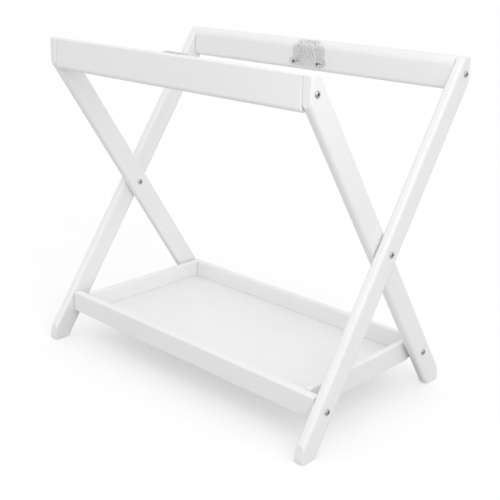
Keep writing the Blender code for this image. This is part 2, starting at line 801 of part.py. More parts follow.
def add_rib(bm, x_low, x_high, clip_back):
    """A rib from the clip's front back to the rail's rounded edge, which it follows."""
    seat_radius = RAIL_INNER_RADIUS + SEAT
    round_y = clip_back + seat_radius
    round_z = STAND_HEIGHT - RAIL_INNER_RADIUS
    inside = clip_back - CLIP_PLATE / 2
    front = clip_back - CLIP_PLATE - CLIP_RIB_FRONT
    top = CLIP_TOP - CLIP_RIB_DROP
    outline = [
        (front, top),
        (front, CLIP_BASE_TOP - CLIP_PLATE),
        (inside, CLIP_BASE_TOP - CLIP_PLATE),
        (inside, round_z + seat_radius * math.sin(CLIP_RIB_START)),
    ]
    rib_end = math.acos((seat_radius - CLIP_RIB_BACK) / seat_radius)
    steps = 4
    for number in range(steps + 1):
        angle = CLIP_RIB_START + (rib_end - CLIP_RIB_START) * number / steps
        outline.append(
            (round_y - seat_radius * math.cos(angle), round_z + seat_radius * math.sin(angle))
        )
    outline.append((clip_back + CLIP_RIB_BACK, top))
    near = [bm.verts.new((x_low, y, z)) for y, z in outline]
    far = [bm.verts.new((x_high, y, z)) for y, z in outline]
    bm.faces.new(near)
    bm.faces.new(far)
    for number in range(len(outline)):
        after = (number + 1) % len(outline)
        bm.faces.new((near[number], near[after], far[after], far[number]))


def joined_blocks(boxes):
    """Several boxes that stand apart, in one mesh."""
    bm = bmesh.new()
    for low, high in boxes:
        low, high = Vector(low), Vector(high)
        made = bmesh.ops.create_cube(bm, size=1.0)
        bmesh.ops.scale(bm, vec=high - low, verts=made["verts"])
        bmesh.ops.translate(bm, vec=(low + high) / 2, verts=made["verts"])
    return bm


def make_clip(name, body, back):
    clip_back = RAIL_INNER_Y - SEAT
    plate_front = clip_back - CLIP_PLATE
    base_front = clip_back - CLIP_DEPTH
    half_wing = CLIP_WING_WIDTH / 2
    half_centre = CLIP_CENTRE_WIDTH / 2
    half_base = CLIP_BASE_WIDTH / 2

    plate = block(
        (-half_wing, plate_front, CLIP_BOTTOM), (half_wing, clip_back, CLIP_TOP - CLIP_WING_DROP)
    )
    round_edges(
        plate, lambda run, mid: abs(run.y) > 0.9 and mid.z > CLIP_BASE_TOP, CLIP_WING_RADIUS, 4
    )
    clip = add_piece(name, facing(plate, back), CLEAR_PLASTIC, body)
    centre = block((-half_centre, plate_front, CLIP_BASE_TOP), (half_centre, clip_back, CLIP_TOP))
    cut_away(clip, facing(centre, back), "UNION")
    base = block((-half_base, base_front, CLIP_BOTTOM), (half_base, clip_back, CLIP_BASE_TOP))
    round_edges(base, lambda run, mid: abs(run.y) > 0.9, CLIP_BASE_RADIUS, 3)
    cut_away(clip, facing(base, back), "UNION")

    # Upright ribs through the middle part, with a window between each pair near the top.
    rib_step = (CLIP_CENTRE_WIDTH - CLIP_RIB_THICKNESS) / (CLIP_RIBS - 1)
    first_rib = -half_centre + CLIP_RIB_THICKNESS / 2
    half_rib = CLIP_RIB_THICKNESS / 2
    ribs = bmesh.new()
    for number in range(CLIP_RIBS):
        rib_x = first_rib + number * rib_step
        add_rib(ribs, rib_x - half_rib, rib_x + half_rib, clip_back)
    cut_away(clip, facing(ribs, back), "UNION")
    half_window = (rib_step - CLIP_RIB_THICKNESS) / 2 - CLIP_WINDOW_RIM
    window_top = CLIP_TOP - CLIP_WINDOW_BAR
    windows = []
    for number in range(CLIP_RIBS - 1):
        window_x = first_rib + (number + 0.5) * rib_step
        windows.append(
            (
                (window_x - half_window, plate_front - CLIP_PLATE, window_top - CLIP_WINDOW_HEIGHT),
                (window_x + half_window, clip_back + CLIP_PLATE, window_top),
            )
        )
    cut_away(clip, facing(joined_blocks(windows), back))

    # Two screws through the base into the rail.
    for side in (-1, 1):
        screw_x = side * CLIP_SCREW_X
        drill(
            clip,
            (screw_x, back * (base_front - CLIP_PLATE), CLIP_SCREW_Z),
            (screw_x, back * (clip_back + CLIP_PLATE), CLIP_SCREW_Z),
            CLIP_SCREW_RADIUS + SEAT,
            12,
        )
        radius = CLIP_SCREW_RADIUS
        screw = turned(
            [
                (-CLIP_SCREW_LENGTH, 0.0),
                (-CLIP_SCREW_LENGTH + radius * 2, radius),
                (0.0, radius),
                (0.0, CLIP_SCREW_HEAD),
                (CLIP_SCREW_HEAD_HEIGHT * 0.5, CLIP_SCREW_HEAD),
                (CLIP_SCREW_HEAD_HEIGHT, CLIP_SCREW_HEAD * 0.7),
                (CLIP_SCREW_HEAD_HEIGHT, 0.0),
            ],
            12,
        )
        bmesh.ops.transform(screw, matrix=Matrix.Rotation(-math.pi / 2, 4, "Z"), verts=screw.verts[:])
        add_piece(
            name + "_screw_" + sided(side),
            facing(screw, back),
            DARK_STEEL,
            body,
            (screw_x, back * (base_front - SEAT), CLIP_SCREW_Z),
        )


make_clip("front_clip", INNER_FRAME, -1)
make_clip("back_clip", OUTER_FRAME, 1)
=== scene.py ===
"""Looks of the folding bassinet stand: painted wood, clear clips and dark bolts in a white studio."""
import json
import math

import bmesh
import bpy
from mathutils import Matrix, Vector

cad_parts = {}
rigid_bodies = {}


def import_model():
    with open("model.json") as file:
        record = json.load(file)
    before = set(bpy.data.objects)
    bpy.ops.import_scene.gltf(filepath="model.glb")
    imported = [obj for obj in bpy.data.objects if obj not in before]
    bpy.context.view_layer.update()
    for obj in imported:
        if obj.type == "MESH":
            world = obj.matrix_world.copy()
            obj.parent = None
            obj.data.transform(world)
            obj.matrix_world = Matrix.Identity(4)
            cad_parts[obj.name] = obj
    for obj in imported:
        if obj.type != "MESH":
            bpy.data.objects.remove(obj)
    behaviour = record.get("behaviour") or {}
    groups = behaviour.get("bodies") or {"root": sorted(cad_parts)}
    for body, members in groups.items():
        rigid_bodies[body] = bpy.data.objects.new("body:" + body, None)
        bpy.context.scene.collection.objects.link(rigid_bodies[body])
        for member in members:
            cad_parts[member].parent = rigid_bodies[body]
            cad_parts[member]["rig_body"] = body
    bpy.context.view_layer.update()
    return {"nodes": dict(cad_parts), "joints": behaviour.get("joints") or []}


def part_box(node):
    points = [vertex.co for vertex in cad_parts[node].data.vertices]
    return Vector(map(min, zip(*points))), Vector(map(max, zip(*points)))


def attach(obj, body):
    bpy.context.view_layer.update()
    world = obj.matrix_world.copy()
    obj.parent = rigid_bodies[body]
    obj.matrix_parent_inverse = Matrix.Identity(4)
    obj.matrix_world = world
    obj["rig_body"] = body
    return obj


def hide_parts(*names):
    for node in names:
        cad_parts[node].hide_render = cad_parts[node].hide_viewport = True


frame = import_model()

# How far a cutting tool passes the surface that it opens, and how far it starts outside the wood.
CUT_SPARE = 0.002
TOOL_REACH = 0.010
# Points nearer than MERGE are one point, edges within NEAR of a height are at it, and planes that
# reach a leg's end within SAME_REACH of each other meet there.
MERGE = 0.000001
NEAR = 0.00001
SAME_REACH = 0.0000001
# Edges sharper than this are eased.
SHARP = math.radians(50)
# Below these angles, in degrees, faces meet without a crease.
SMOOTH_WOOD = 32.0
SMOOTH_METAL = 40.0
SMOOTH_RING = 30.0
SMOOTH_CLIP = 35.0

# Sizes that the frame's boxes don't give, in metres, and a few shares, counts and angles.
LEG_WIDTH = 0.049
LEG_EDGE_RADIUS = 0.0072
LEG_TOP_EASE = 0.0028
LEG_FOOT_EASE = 0.0014
SOLE_RADIUS = 0.070
SOLE_INSET = 0.0195
# The sole's arc, in degrees to each side and in steps.
SOLE_TURN = 22
SOLE_STEP = 2
TOE_LEAN = math.radians(7.6)
# The share of the rounded edge past which a crossing gets no place of its own.
LEG_EDGE_END = 0.999
LEG_EDGE_STEPS = 8
LEG_RIM_STEPS = 6
RAIL_INNER_RADIUS = 0.018
RAIL_BOTTOM_RADIUS = 0.009
RAIL_OUTER_RADIUS = 0.003
RAIL_END_EASE = 0.0030
BOARD_EDGE_RADIUS = 0.003
BOARD_END_EASE = 0.001
BOARD_JOINT_GAP = 0.0011
BOARD_JOINT_EASE = 0.0016
BOARD_SEAM = 0.0008
BOARD_STEP = 0.0006
SHEET_EASE = 0.0005
SHEET_STEP = 0.0003
BOLT_HEAD_RADIUS = 0.00625
BOLT_HEAD_THICKNESS = 0.0027
BOLT_HEAD_FLAT = 0.46
HEAD_RIM = 0.0005
HEAD_EASE = 0.0002
HEAD_STEPS = 8
THREAD_LENGTH = 0.014
THREAD_SHARE = 0.4
THREAD_PITCH = 0.001
THREAD_ROOT = 0.88
SHANK_TIP = 0.0008
SHANK_TIP_SHARE = 0.7
SHANK_NECK = 0.0003
SOCKET_WIDTH = 0.004
SOCKET_CORNER = SOCKET_WIDTH / 2 / math.cos(math.pi / 6)
SOCKET_DEPTH = 0.0024
SOCKET_SPARE = 0.0001
SOCKET_LIP = 0.001
# The mouth's slope: how far it starts below the face and ends above it, and both widths as shares.
SOCKET_MOUTH = (0.0003, 0.9, 0.0001, 1.12)
HOLE_SPARE = 0.0003
CATCH_RADIUS = 0.005
CATCH_DEPTH = 0.0063
CATCH_FLARE = 1.25
CATCH_SLANT = math.radians(25.0)
# The rings' outer radius and chamfer.
PIVOT_WASHER = (0.010, 0.0002)
TRAY_WASHER = (0.008, 0.0003)
CATCH_SPACER = (0.007, 0.0006)
BOLT_RADIUS = 0.003
PEG_RADIUS = 0.004
SLEEVE_RADIUS = 0.0045
SLEEVE_RIM = 0.0003
SLEEVE_MOUTH = 0.0002
SLEEVE_FLOOR = 0.001
DOWEL_RADIUS = 0.004
TRAY_DOWEL_RADIUS = 0.003
BARREL_NUT_RADIUS = 0.005
INSERT_RADIUS = 0.004
SCREW_RADIUS = 0.0018
SCREW_HEAD_RADIUS = 0.0036
SCREW_HEAD_HEIGHT = 0.0016
SCREW_CROSS_WIDTH = 0.0009
SCREW_CROSS_LENGTH = 0.0044
SCREW_CROSS_DEPTH = 0.0011
SCREW_CROSS_SPARE = 0.001
SCREW_HEAD_FLAT = 0.45
SCREW_TIP = 0.8
# Where the thread's crest and root lie in each pitch.
SCREW_PITCH = 0.0014
SCREW_CREST = 0.0004
SCREW_ROOT_PLACE = 0.0011
SCREW_ROOT = 0.72
SCREW_NECK = 0.85
SCREW_PLAIN_SHARE = 0.35
CLIP_CENTRE_WIDTH = 0.052
CLIP_WING_WIDTH = 0.086
CLIP_WING_DROP = 0.010
CLIP_WING_RADIUS = 0.009
CLIP_PLATE = 0.0027
CLIP_PLATE_EASE = 0.0006
CLIP_BASE_HEIGHT = 0.015
CLIP_BASE_TOP_RADIUS = 0.0045
CLIP_BASE_LOW_RADIUS = 0.009
CLIP_BASE_EASE = 0.0013
CLIP_DISH_INSET = 0.0018
CLIP_DISH_DEPTH = 0.0022
CLIP_DISH_EASE = CLIP_DISH_DEPTH * 0.45
CLIP_RIBS = 6
CLIP_RIB_THICKNESS = 0.002
CLIP_RIB_FRONT = 0.0022
CLIP_RIB_DROP = 0.0005
CLIP_RIB_START = math.radians(15)
CLIP_RIB_EASE = 0.0004
CLIP_WINDOW_HEIGHT = 0.012
CLIP_WINDOW_RIM = 0.0008
CLIP_WINDOW_BAR = 0.003
CLIP_SEAT_RADIUS = 0.0046
CLIP_SEAT_STEP = 0.0002
CLIP_SEAT_EASE = 0.0005
CLIP_SEAT_REACH = CLIP_DISH_DEPTH * 1.5
CLIP_HOLE_REACH = 0.001
CLIP_EYE_INSET = 0.0062
CLIP_EYE_RADIUS = 0.0052
CLIP_EYE_HOLE = 0.0035
CLIP_EYE_DEPTH = 0.0065
ROUND_SIDES = 48


def centre(node):
    low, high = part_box(node)
    return (low + high) / 2


PIVOT = Vector(frame["joints"][0]["pos_m"])
TOP_BOLT = centre("back_rail_bolt_right")
LEAN = math.atan2(TOP_BOLT.y, TOP_BOLT.z - PIVOT.z)


# Materials.
def new_material(name):
    material = bpy.data.materials.new(name)
    material.use_nodes = True
    return material, material.node_tree, material.node_tree.nodes["Principled BSDF"]


def add_node(tree, kind, **settings):
    node = tree.nodes.new(kind)
    for key, value in settings.items():
        setattr(node, key, value)
    return node


def noise(tree, place, scale, detail=3.0, roughness=0.5):
    texture = add_node(tree, "ShaderNodeTexNoise")
    texture.inputs["Scale"].default_value = scale
    texture.inputs["Detail"].default_value = detail
    texture.inputs["Roughness"].default_value = roughness
    tree.links.new(place, texture.inputs["Vector"])
    return texture.outputs["Fac"]


def spread(tree, value, low, high, to_low, to_high):
    """Maps low..high of a value to to_low..to_high."""
    ranged = add_node(tree, "ShaderNodeMapRange")
    ranged.inputs["From Min"].default_value = low
    ranged.inputs["From Max"].default_value = high
    ranged.inputs["To Min"].default_value = to_low
    ranged.inputs["To Max"].default_value = to_high
    tree.links.new(value, ranged.inputs["Value"])
    return ranged.outputs["Result"]


def mix_colours(tree, factor, first, second):
    mix = add_node(tree, "ShaderNodeMix", data_type="RGBA")
    mix.inputs["A"].default_value = (*first, 1.0)
    mix.inputs["B"].default_value = (*second, 1.0)
    tree.links.new(factor, mix.inputs["Factor"])
    return mix.outputs["Result"]


def bumped(tree, height, strength, distance, normal=None):
    bump = add_node(tree, "ShaderNodeBump")
    bump.inputs["Strength"].default_value = strength
    bump.inputs["Distance"].default_value = distance
    tree.links.new(height, bump.inputs["Height"])
    if normal is not None:
        tree.links.new(normal, bump.inputs["Normal"])
    return bump.outputs["Normal"]


def object_place(tree, stretch=(1.0, 1.0, 1.0), tilt=0.0):
    """Object coordinates turned back by tilt about X and then drawn out by stretch."""
    place = add_node(tree, "ShaderNodeTexCoord")
    mapping = add_node(tree, "ShaderNodeMapping", vector_type="TEXTURE")
    mapping.inputs["Rotation"].default_value = (tilt, 0.0, 0.0)
    mapping.inputs["Scale"].default_value = stretch
    tree.links.new(place.outputs["Object"], mapping.inputs["Vector"])
    return mapping.outputs["Vector"]


# How far the grain is drawn out along the wood's length.
GRAIN_RUNS = {"x": (28.0, 1.0, 1.0), "y": (1.0, 28.0, 1.0), "z": (1.0, 1.0, 28.0)}


def painted_wood(name, along, white, shade, grain=1.0, tilt=0.0):
    """Satin white paint over wood: faint drawn-out grain, fine brush lines and a little orange peel."""
    material, tree, shader = new_material(name)
    drawn = object_place(tree, GRAIN_RUNS[along], tilt)
    plain = object_place(tree)
    pores = noise(tree, drawn, 420.0, 4.0, 0.6)
    brush = noise(tree, drawn, 1500.0, 2.0, 0.5)
    clouds = noise(tree, plain, 9.0, 3.0, 0.55)
    peel = noise(tree, plain, 1100.0, 1.0, 0.4)
    tone = spread(tree, clouds, 0.3, 0.7, 0.0, 0.55)
    lines = spread(tree, pores, 0.42, 0.72, 0.0, 0.5)
    both = add_node(tree, "ShaderNodeMath", operation="ADD", use_clamp=True)
    tree.links.new(tone, both.inputs[0])
    tree.links.new(lines, both.inputs[1])
    colour = mix_colours(tree, both.outputs["Value"], white, shade)
    tree.links.new(colour, shader.inputs["Base Color"])
    gloss = spread(tree, clouds, 0.3, 0.7, 0.34, 0.47)
    tree.links.new(gloss, shader.inputs["Roughness"])
    normal = bumped(tree, pores, 0.10 * grain, 0.0006)
    normal = bumped(tree, brush, 0.06 * grain, 0.0003, normal)
    normal = bumped(tree, peel, 0.05, 0.0002, normal)
    tree.links.new(normal, shader.inputs["Normal"])
    shader.inputs["Specular IOR Level"].default_value = 0.45
    return material


def clear_plastic():
    """Clear moulded plastic, a little milky and grey, that lets light through to the rail."""
    material, tree, shader = new_material("clear_plastic")
    plain = object_place(tree)
    flow = noise(tree, plain, 55.0, 2.0, 0.5)
    gloss = spread(tree, flow, 0.3, 0.7, 0.10, 0.22)
    tree.links.new(gloss, shader.inputs["Roughness"])
    tint = mix_colours(tree, flow, (0.985, 0.985, 0.988), (0.96, 0.96, 0.964))
    tree.links.new(tint, shader.inputs["Base Color"])
    tree.links.new(bumped(tree, flow, 0.05, 0.0005), shader.inputs["Normal"])
    shader.inputs["Transmission Weight"].default_value = 0.88
    shader.inputs["IOR"].default_value = 1.49
    through = tree.nodes.new("ShaderNodeBsdfTransparent")
    through.inputs["Color"].default_value = (0.972, 0.972, 0.974, 1.0)
    mixed = tree.nodes.new("ShaderNodeMixShader")
    mixed.inputs["Fac"].default_value = 0.4
    tree.links.new(through.outputs["BSDF"], mixed.inputs[1])
    tree.links.new(shader.outputs["BSDF"], mixed.inputs[2])
    tree.links.new(mixed.outputs["Shader"], tree.nodes["Material Output"].inputs["Surface"])
    return material


def plated_steel(name, light, dark, rough):
    """Plated steel with fine turning marks and a few duller patches."""
    material, tree, shader = new_material(name)
    plain = object_place(tree)
    turned_marks = noise(tree, object_place(tree, (0.1, 1.0, 1.0)), 900.0, 3.0, 0.6)
    patches = noise(tree, plain, 260.0, 3.0, 0.55)
    tree.links.new(mix_colours(tree, patches, light, dark), shader.inputs["Base Color"])
    gloss = spread(tree, patches, 0.3, 0.7, rough - 0.07, rough + 0.1)
    tree.links.new(gloss, shader.inputs["Roughness"])
    tree.links.new(bumped(tree, turned_marks, 0.12, 0.0001), shader.inputs["Normal"])
    shader.inputs["Metallic"].default_value = 1.0
    return material


def nylon():
    material, tree, shader = new_material("nylon")
    plain = object_place(tree)
    grain = noise(tree, plain, 800.0, 2.0, 0.5)
    colour = mix_colours(tree, grain, (0.80, 0.80, 0.78), (0.74, 0.74, 0.72))
    tree.links.new(colour, shader.inputs["Base Color"])
    tree.links.new(bumped(tree, grain, 0.08, 0.0002), shader.inputs["Normal"])
    shader.inputs["Roughness"].default_value = 0.5
    shader.inputs["Subsurface Weight"].default_value = 0.1
    return material


def bare_beech():
    material, tree, shader = new_material("bare_beech")
    drawn = object_place(tree, (16.0, 1.0, 1.0))
    pores = noise(tree, drawn, 700.0, 4.0, 0.6)
    colour = mix_colours(tree, pores, (0.66, 0.48, 0.31), (0.50, 0.34, 0.20))
    tree.links.new(colour, shader.inputs["Base Color"])
    tree.links.new(bumped(tree, pores, 0.2, 0.0004), shader.inputs["Normal"])
    shader.inputs["Roughness"].default_value = 0.6
    return material


WHITE = (0.870, 0.870, 0.866)
SHADE = (0.838, 0.838, 0.833)
RAIL_PAINT = painted_wood("white_paint_rails", "x", WHITE, SHADE)
BOARD_PAINT = painted_wood("white_paint_end_boards", "y", WHITE, SHADE)
LEG_PAINT = {
    top: painted_wood("white_paint_legs_" + name, "z", WHITE, SHADE, 1.0, -top * LEAN)
    for top, name in ((-1, "inner"), (1, "outer"))
}
SHEET_PAINT = painted_wood("white_paint_sheet", "x", WHITE, SHADE, 0.5)
CLEAR = clear_plastic()
BOLT_STEEL = plated_steel("bolt_steel", (0.56, 0.56, 0.57), (0.46, 0.46, 0.47), 0.34)
# Painted shade: the socket's steel is much darker than the head's and stands in for the shade inside the
# socket.
SOCKET_SHADE_STEEL = plated_steel("socket_painted_shade", (0.14, 0.14, 0.15), (0.09, 0.09, 0.10), 0.5)
SCREW_STEEL = plated_steel("screw_steel", (0.30, 0.30, 0.31), (0.20, 0.20, 0.21), 0.36)
PLAIN_STEEL = plated_steel("plain_steel", (0.62, 0.62, 0.63), (0.48, 0.48, 0.49), 0.36)
NYLON = nylon()
BEECH = bare_beech()


# Mesh tools.
def block(low, high):
    low, high = Vector(low), Vector(high)
    bm = bmesh.new()
    bmesh.ops.create_cube(bm, size=1.0)
    bmesh.ops.scale(bm, vec=high - low, verts=bm.verts[:])
    bmesh.ops.translate(bm, vec=(low + high) / 2, verts=bm.verts[:])
    return bm


def round_chosen(bm, chosen, radius, segments):
    bmesh.ops.bevel(
        bm,
        geom=chosen,
        offset=radius,
        segments=segments,
        profile=0.5,
        affect="EDGES",
        clamp_overlap=True,
    )


def round_edges(bm, wanted, radius, segments):
    chosen = []
    for edge in bm.edges:
        run = edge.verts[1].co - edge.verts[0].co
        middle = (edge.verts[0].co + edge.verts[1].co) / 2
        if wanted(run.normalized(), middle):
            chosen.append(edge)
    round_chosen(bm, chosen, radius, segments)


def round_sharp_edges(bm, radius, segments, sharper_than):
    chosen = [edge for edge in bm.edges if edge.calc_face_angle(0.0) > sharper_than]
    round_chosen(bm, chosen, radius, segments)


def turned(profile, sides=ROUND_SIDES):
    """A solid turned about X from (x, radius) points, which close to a loop if they start off the axis."""
    bm = bmesh.new()
    verts = [bm.verts.new((x, 0.0, radius)) for x, radius in profile]
    edges = [bm.edges.new(pair) for pair in zip(verts, verts[1:])]
    if profile[0][1] > 0.0:
        edges.append(bm.edges.new((verts[-1], verts[0])))
    bmesh.ops.spin(
        bm,
        geom=verts + edges,
        cent=(0.0, 0.0, 0.0),
        axis=(1.0, 0.0, 0.0),
        angle=2.0 * math.pi,
        steps=sides,
        use_merge=True,
    )
    bmesh.ops.remove_doubles(bm, verts=bm.verts[:], dist=MERGE)
    return bm


def rod(start, end, radius, sides=32):
    """A plain round bar between two points, as bmesh in place."""
    start, end = Vector(start), Vector(end)
    run = end - start
    bm = bmesh.new()
    bmesh.ops.create_cone(
        bm, cap_ends=True, segments=sides, radius1=radius, radius2=radius, depth=run.length
    )
    turn = run.to_track_quat("Z", "Y").to_matrix().to_4x4()
    bmesh.ops.transform(bm, matrix=Matrix.Translation((start + end) / 2) @ turn, verts=bm.verts[:])
    return bm


def object_from(name, bm):
    """An object in the scene from a bmesh in world places."""
    bmesh.ops.recalc_face_normals(bm, faces=bm.faces[:])
    mesh = bpy.data.meshes.new(name)
    bm.to_mesh(mesh)
    bm.free()
    made = bpy.data.objects.new(name, mesh)
    bpy.context.scene.collection.objects.link(made)
    return made


def carve(piece, shapes, operation="DIFFERENCE"):
    """Cuts (or joins) shapes, in world places, out of (or to) the piece and keeps the result."""
    cutters = []
    for number, bm in enumerate(shapes):
        cutter = object_from(f"{piece.name}_tool_{number}", bm)
        cutters.append(cutter)
        cut = piece.modifiers.new(cutter.name, "BOOLEAN")
        cut.operation = operation
        cut.solver = "EXACT"
        cut.object = cutter
    bpy.context.view_layer.update()
    graph = bpy.context.evaluated_depsgraph_get()
    old = piece.data
    piece.data = bpy.data.meshes.new_from_object(piece.evaluated_get(graph))
    piece.modifiers.clear()
    bpy.data.meshes.remove(old)
    for cutter in cutters:
        bpy.data.objects.remove(cutter)


def finish_piece(piece, material, node, smooth_below=SMOOTH_WOOD):
    """Dresses a piece, puts it in a CAD node's place and lets it ride on that node's body."""
    piece.data.materials.clear()
    piece.data.materials.append(material)
    for face in piece.data.polygons:
        face.use_smooth = True
    piece.data.set_sharp_from_angle(angle=math.radians(smooth_below))
    even = piece.modifiers.new("even_normals", "WEIGHTED_NORMAL")
    even.keep_sharp = True
    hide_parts(node)
    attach(piece, frame["nodes"][node]["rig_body"])


def hole(node, radius, low_x, high_x):
    """A round hole along X on a fastener's axis."""
    middle = centre(node)
    return rod((low_x, middle.y, middle.z), (high_x, middle.y, middle.z), radius)


def rounded_outline(low, high, radii, step=0.0012):
    """Points and outward normals round a rectangle, with a radius for each corner.

    The corners run from (high, high) over (low, high) and (low, low) to (high, low).
    """
    signs = ((1, 1), (-1, 1), (-1, -1), (1, -1))
    outline = []
    for corner, ((sign_u, sign_v), radius) in enumerate(zip(signs, radii)):
        centre_u = (high[0] if sign_u > 0 else low[0]) - sign_u * radius
        centre_v = (high[1] if sign_v > 0 else low[1]) - sign_v * radius
        count = max(3, math.ceil(radius * math.pi / 2 / step))
        for number in range(count + 1):
            angle = math.pi / 2 * (corner + number / count)
            normal = Vector((math.cos(angle), math.sin(angle)))
            outline.append((Vector((centre_u, centre_v)) + normal * radius, normal))
    return outline


def eased_bar(axis, start, end, outline, ease, steps=4):
    """A bar with the given outline along the axis x or y, its ends eased round."""
    bm = bmesh.new()
    rings = []
    for place, direction in ((start, 1), (end, -1)):
        for number in range(steps + 1):
            angle = math.pi / 2 * number / steps
            along = place + direction * ease * (1 - math.sin(angle))
            inset = ease * (1 - math.cos(angle))
            loop = []
            for point, normal in outline:
                moved = point - normal * inset
                if axis == "x":
                    loop.append(bm.verts.new((along, moved.x, moved.y)))
                else:
                    loop.append(bm.verts.new((moved.x, along, moved.y)))
            rings.append(loop)
    # From the first end's cap to the last end's cap.
    order = rings[steps::-1] + rings[steps + 1 :]
    for first, second in zip(order, order[1:]):
        for number in range(len(first)):
            after = (number + 1) % len(first)
            bm.faces.new((first[number], first[after], second[after], second[number]))
    bm.faces.new(order[0])
    bm.faces.new(order[-1])
    return bm


# Legs: a rounded bar whose ends are cut by planes, with every rim eased by a rolling ball.
def envelope(planes, across, along, place):
    """How far the bar reaches at a place across it, and the planes that stop it there."""
    reach = [
        (distance - place * across.dot(outward)) / along.dot(outward) for outward, distance in planes
    ]
    best = min(reach) if along.dot(planes[0][0]) > 0 else max(reach)
    return best, [outward for (outward, _), one in zip(planes, reach) if abs(one - best) < SAME_REACH]


def crossings(planes, across, along):
    """The places across the bar at which one plane hands over to the next."""
    found = []
    for (first, first_distance), (second, second_distance) in zip(planes, planes[1:]):
        offset = first_distance / along.dot(first) - second_distance / along.dot(second)
        slope = across.dot(first) / along.dot(first) - across.dot(second) / along.dot(second)
        found.append(offset / slope)
    return found


def turned_normals(normals, step=math.radians(15)):
    """The end's directions at one place: one where it is smooth, a fan where it has a corner."""
    if len(normals) == 1:
        return normals
    first, last = normals[0], normals[-1]
    count = math.ceil(first.angle(last) / step)
    if count <= 1:
        return [(first + last).normalized()]
    return [first.slerp(last, number / count) for number in range(count + 1)]


def leg_shape(top, x_low, x_high, stand_top, top_y, toe_y):
    """A leg that leans to the back (top = 1) or the front (top = -1)."""
    half_x = (x_high - x_low) / 2
    middle_x = (x_low + x_high) / 2
    flat = LEG_WIDTH / 2 - LEG_EDGE_RADIUS
    along = Vector((0.0, math.sin(LEAN), math.cos(LEAN)))
    across = Vector((0.0, math.cos(LEAN), -math.sin(LEAN)))
    ease = LEG_TOP_EASE
    upper = [
        (Vector((0.0, 0.0, 1.0)), stand_top - PIVOT.z - ease),
        (Vector((0.0, 1.0, 0.0)), top_y - ease),
    ]
    # The toe's cut leans outward on its way down to the sole, which is an arc.
    ease = LEG_FOOT_EASE
    sole = Vector((0.0, SOLE_INSET - toe_y, SOLE_RADIUS - PIVOT.z))
    toe_height = SOLE_RADIUS - math.sqrt(SOLE_RADIUS**2 - SOLE_INSET**2)
    toe = Vector((0.0, -toe_y, toe_height - PIVOT.z))
    outward = Vector((0.0, -math.cos(TOE_LEAN), math.sin(TOE_LEAN)))
    lower = [(outward, outward.dot(toe) - ease)]
    for degrees in range(SOLE_TURN, -SOLE_TURN - 1, -SOLE_STEP):
        turn = math.radians(degrees)
        outward = Vector((0.0, -math.sin(turn), -math.cos(turn)))
        lower.append((outward, outward.dot(sole) + SOLE_RADIUS - ease))

    # Places across the bar: the rounded long edges, and each crossing of two end planes.
    # Each is kept as its share of the flat and of the rounded edge, because the two ends' eases differ.
    stations = {}
    for sign in (-1, 1):
        for number in range(LEG_EDGE_STEPS + 1):
            angle = math.pi / 2 * number / LEG_EDGE_STEPS
            stations[round(sign * (1 + math.sin(angle)), 7)] = (sign * flat, angle, sign)
    for planes, ease in ((upper, LEG_TOP_EASE), (lower, LEG_FOOT_EASE)):
        ball = LEG_EDGE_RADIUS - ease
        for crossing in crossings(planes, across, along):
            over = (abs(crossing) - flat) / ball
            sign = 1 if crossing > 0 else -1
            if over <= 0:
                stations[crossing / flat] = (crossing, 0.0, sign)
            elif over < LEG_EDGE_END:
                stations[sign * (1 + over)] = (sign * flat, math.asin(over), sign)
    ordered = [station for _, station in sorted(stations.items())]

    bm = bmesh.new()
    rims = []
    last = LEG_RIM_STEPS
    for planes, ease in ((upper, LEG_TOP_EASE), (lower, LEG_FOOT_EASE)):
        ball = LEG_EDGE_RADIUS - ease
        columns = []
        for on_flat, angle, sign in ordered:
            place = on_flat + sign * ball * math.sin(angle)
            reach, normals = envelope(planes, across, along, place)
            seats = {}
            for side in (-1, 1):
                ball_x = (half_x - LEG_EDGE_RADIUS) + ball * math.cos(angle)
                core = Vector((side * ball_x, 0.0, 0.0)) + across * place + along * reach
                outward = Vector((side * math.cos(angle), 0.0, 0.0)) + across * sign * math.sin(angle)
                seats[side] = (core, outward.normalized())
            starts = {}
            for side, (core, outward) in seats.items():
                starts[side] = bm.verts.new(core + outward * ease)
            for normal in turned_normals(normals):
                column = {}
                for side, (core, outward) in seats.items():
                    column[side] = [starts[side]]
                    for number in range(1, last + 1):
                        rolled = outward.slerp(normal, number / last)
                        column[side].append(bm.verts.new(core + rolled * ease))
                columns.append(column)
        rims.append(columns)
        for first, second in zip(columns, columns[1:]):
            for side in (-1, 1):
                here, there = first[side], second[side]
                for low in range(last):
                    corners = [here[low], here[low + 1], there[low + 1], there[low]]
                    bm.faces.new(list(dict.fromkeys(corners)))
            bm.faces.new((first[-1][last], first[1][last], second[1][last], second[-1][last]))
        for column in (columns[0], columns[-1]):
            left, right = column[-1], column[1]
            for low in range(last):
                bm.faces.new((left[low], right[low], right[low + 1], left[low + 1]))

    # The long faces between the two rims.
    seats_up = list(dict.fromkeys((column[-1][0], column[1][0]) for column in rims[0]))
    seats_down = list(dict.fromkeys((column[-1][0], column[1][0]) for column in rims[1]))
    for (up, down), (up_after, down_after) in zip(
        zip(seats_up, seats_down), zip(seats_up[1:], seats_down[1:])
    ):
        for side in (0, 1):
            bm.faces.new((up[side], up_after[side], down_after[side], down[side]))
    for up, down in ((seats_up[0], seats_down[0]), (seats_up[-1], seats_down[-1])):
        bm.faces.new((up[0], up[1], down[1], down[0]))
    for vert in bm.verts:
        vert.co = Vector((middle_x + vert.co.x, top * vert.co.y, vert.co.z)) + PIVOT
    return bm


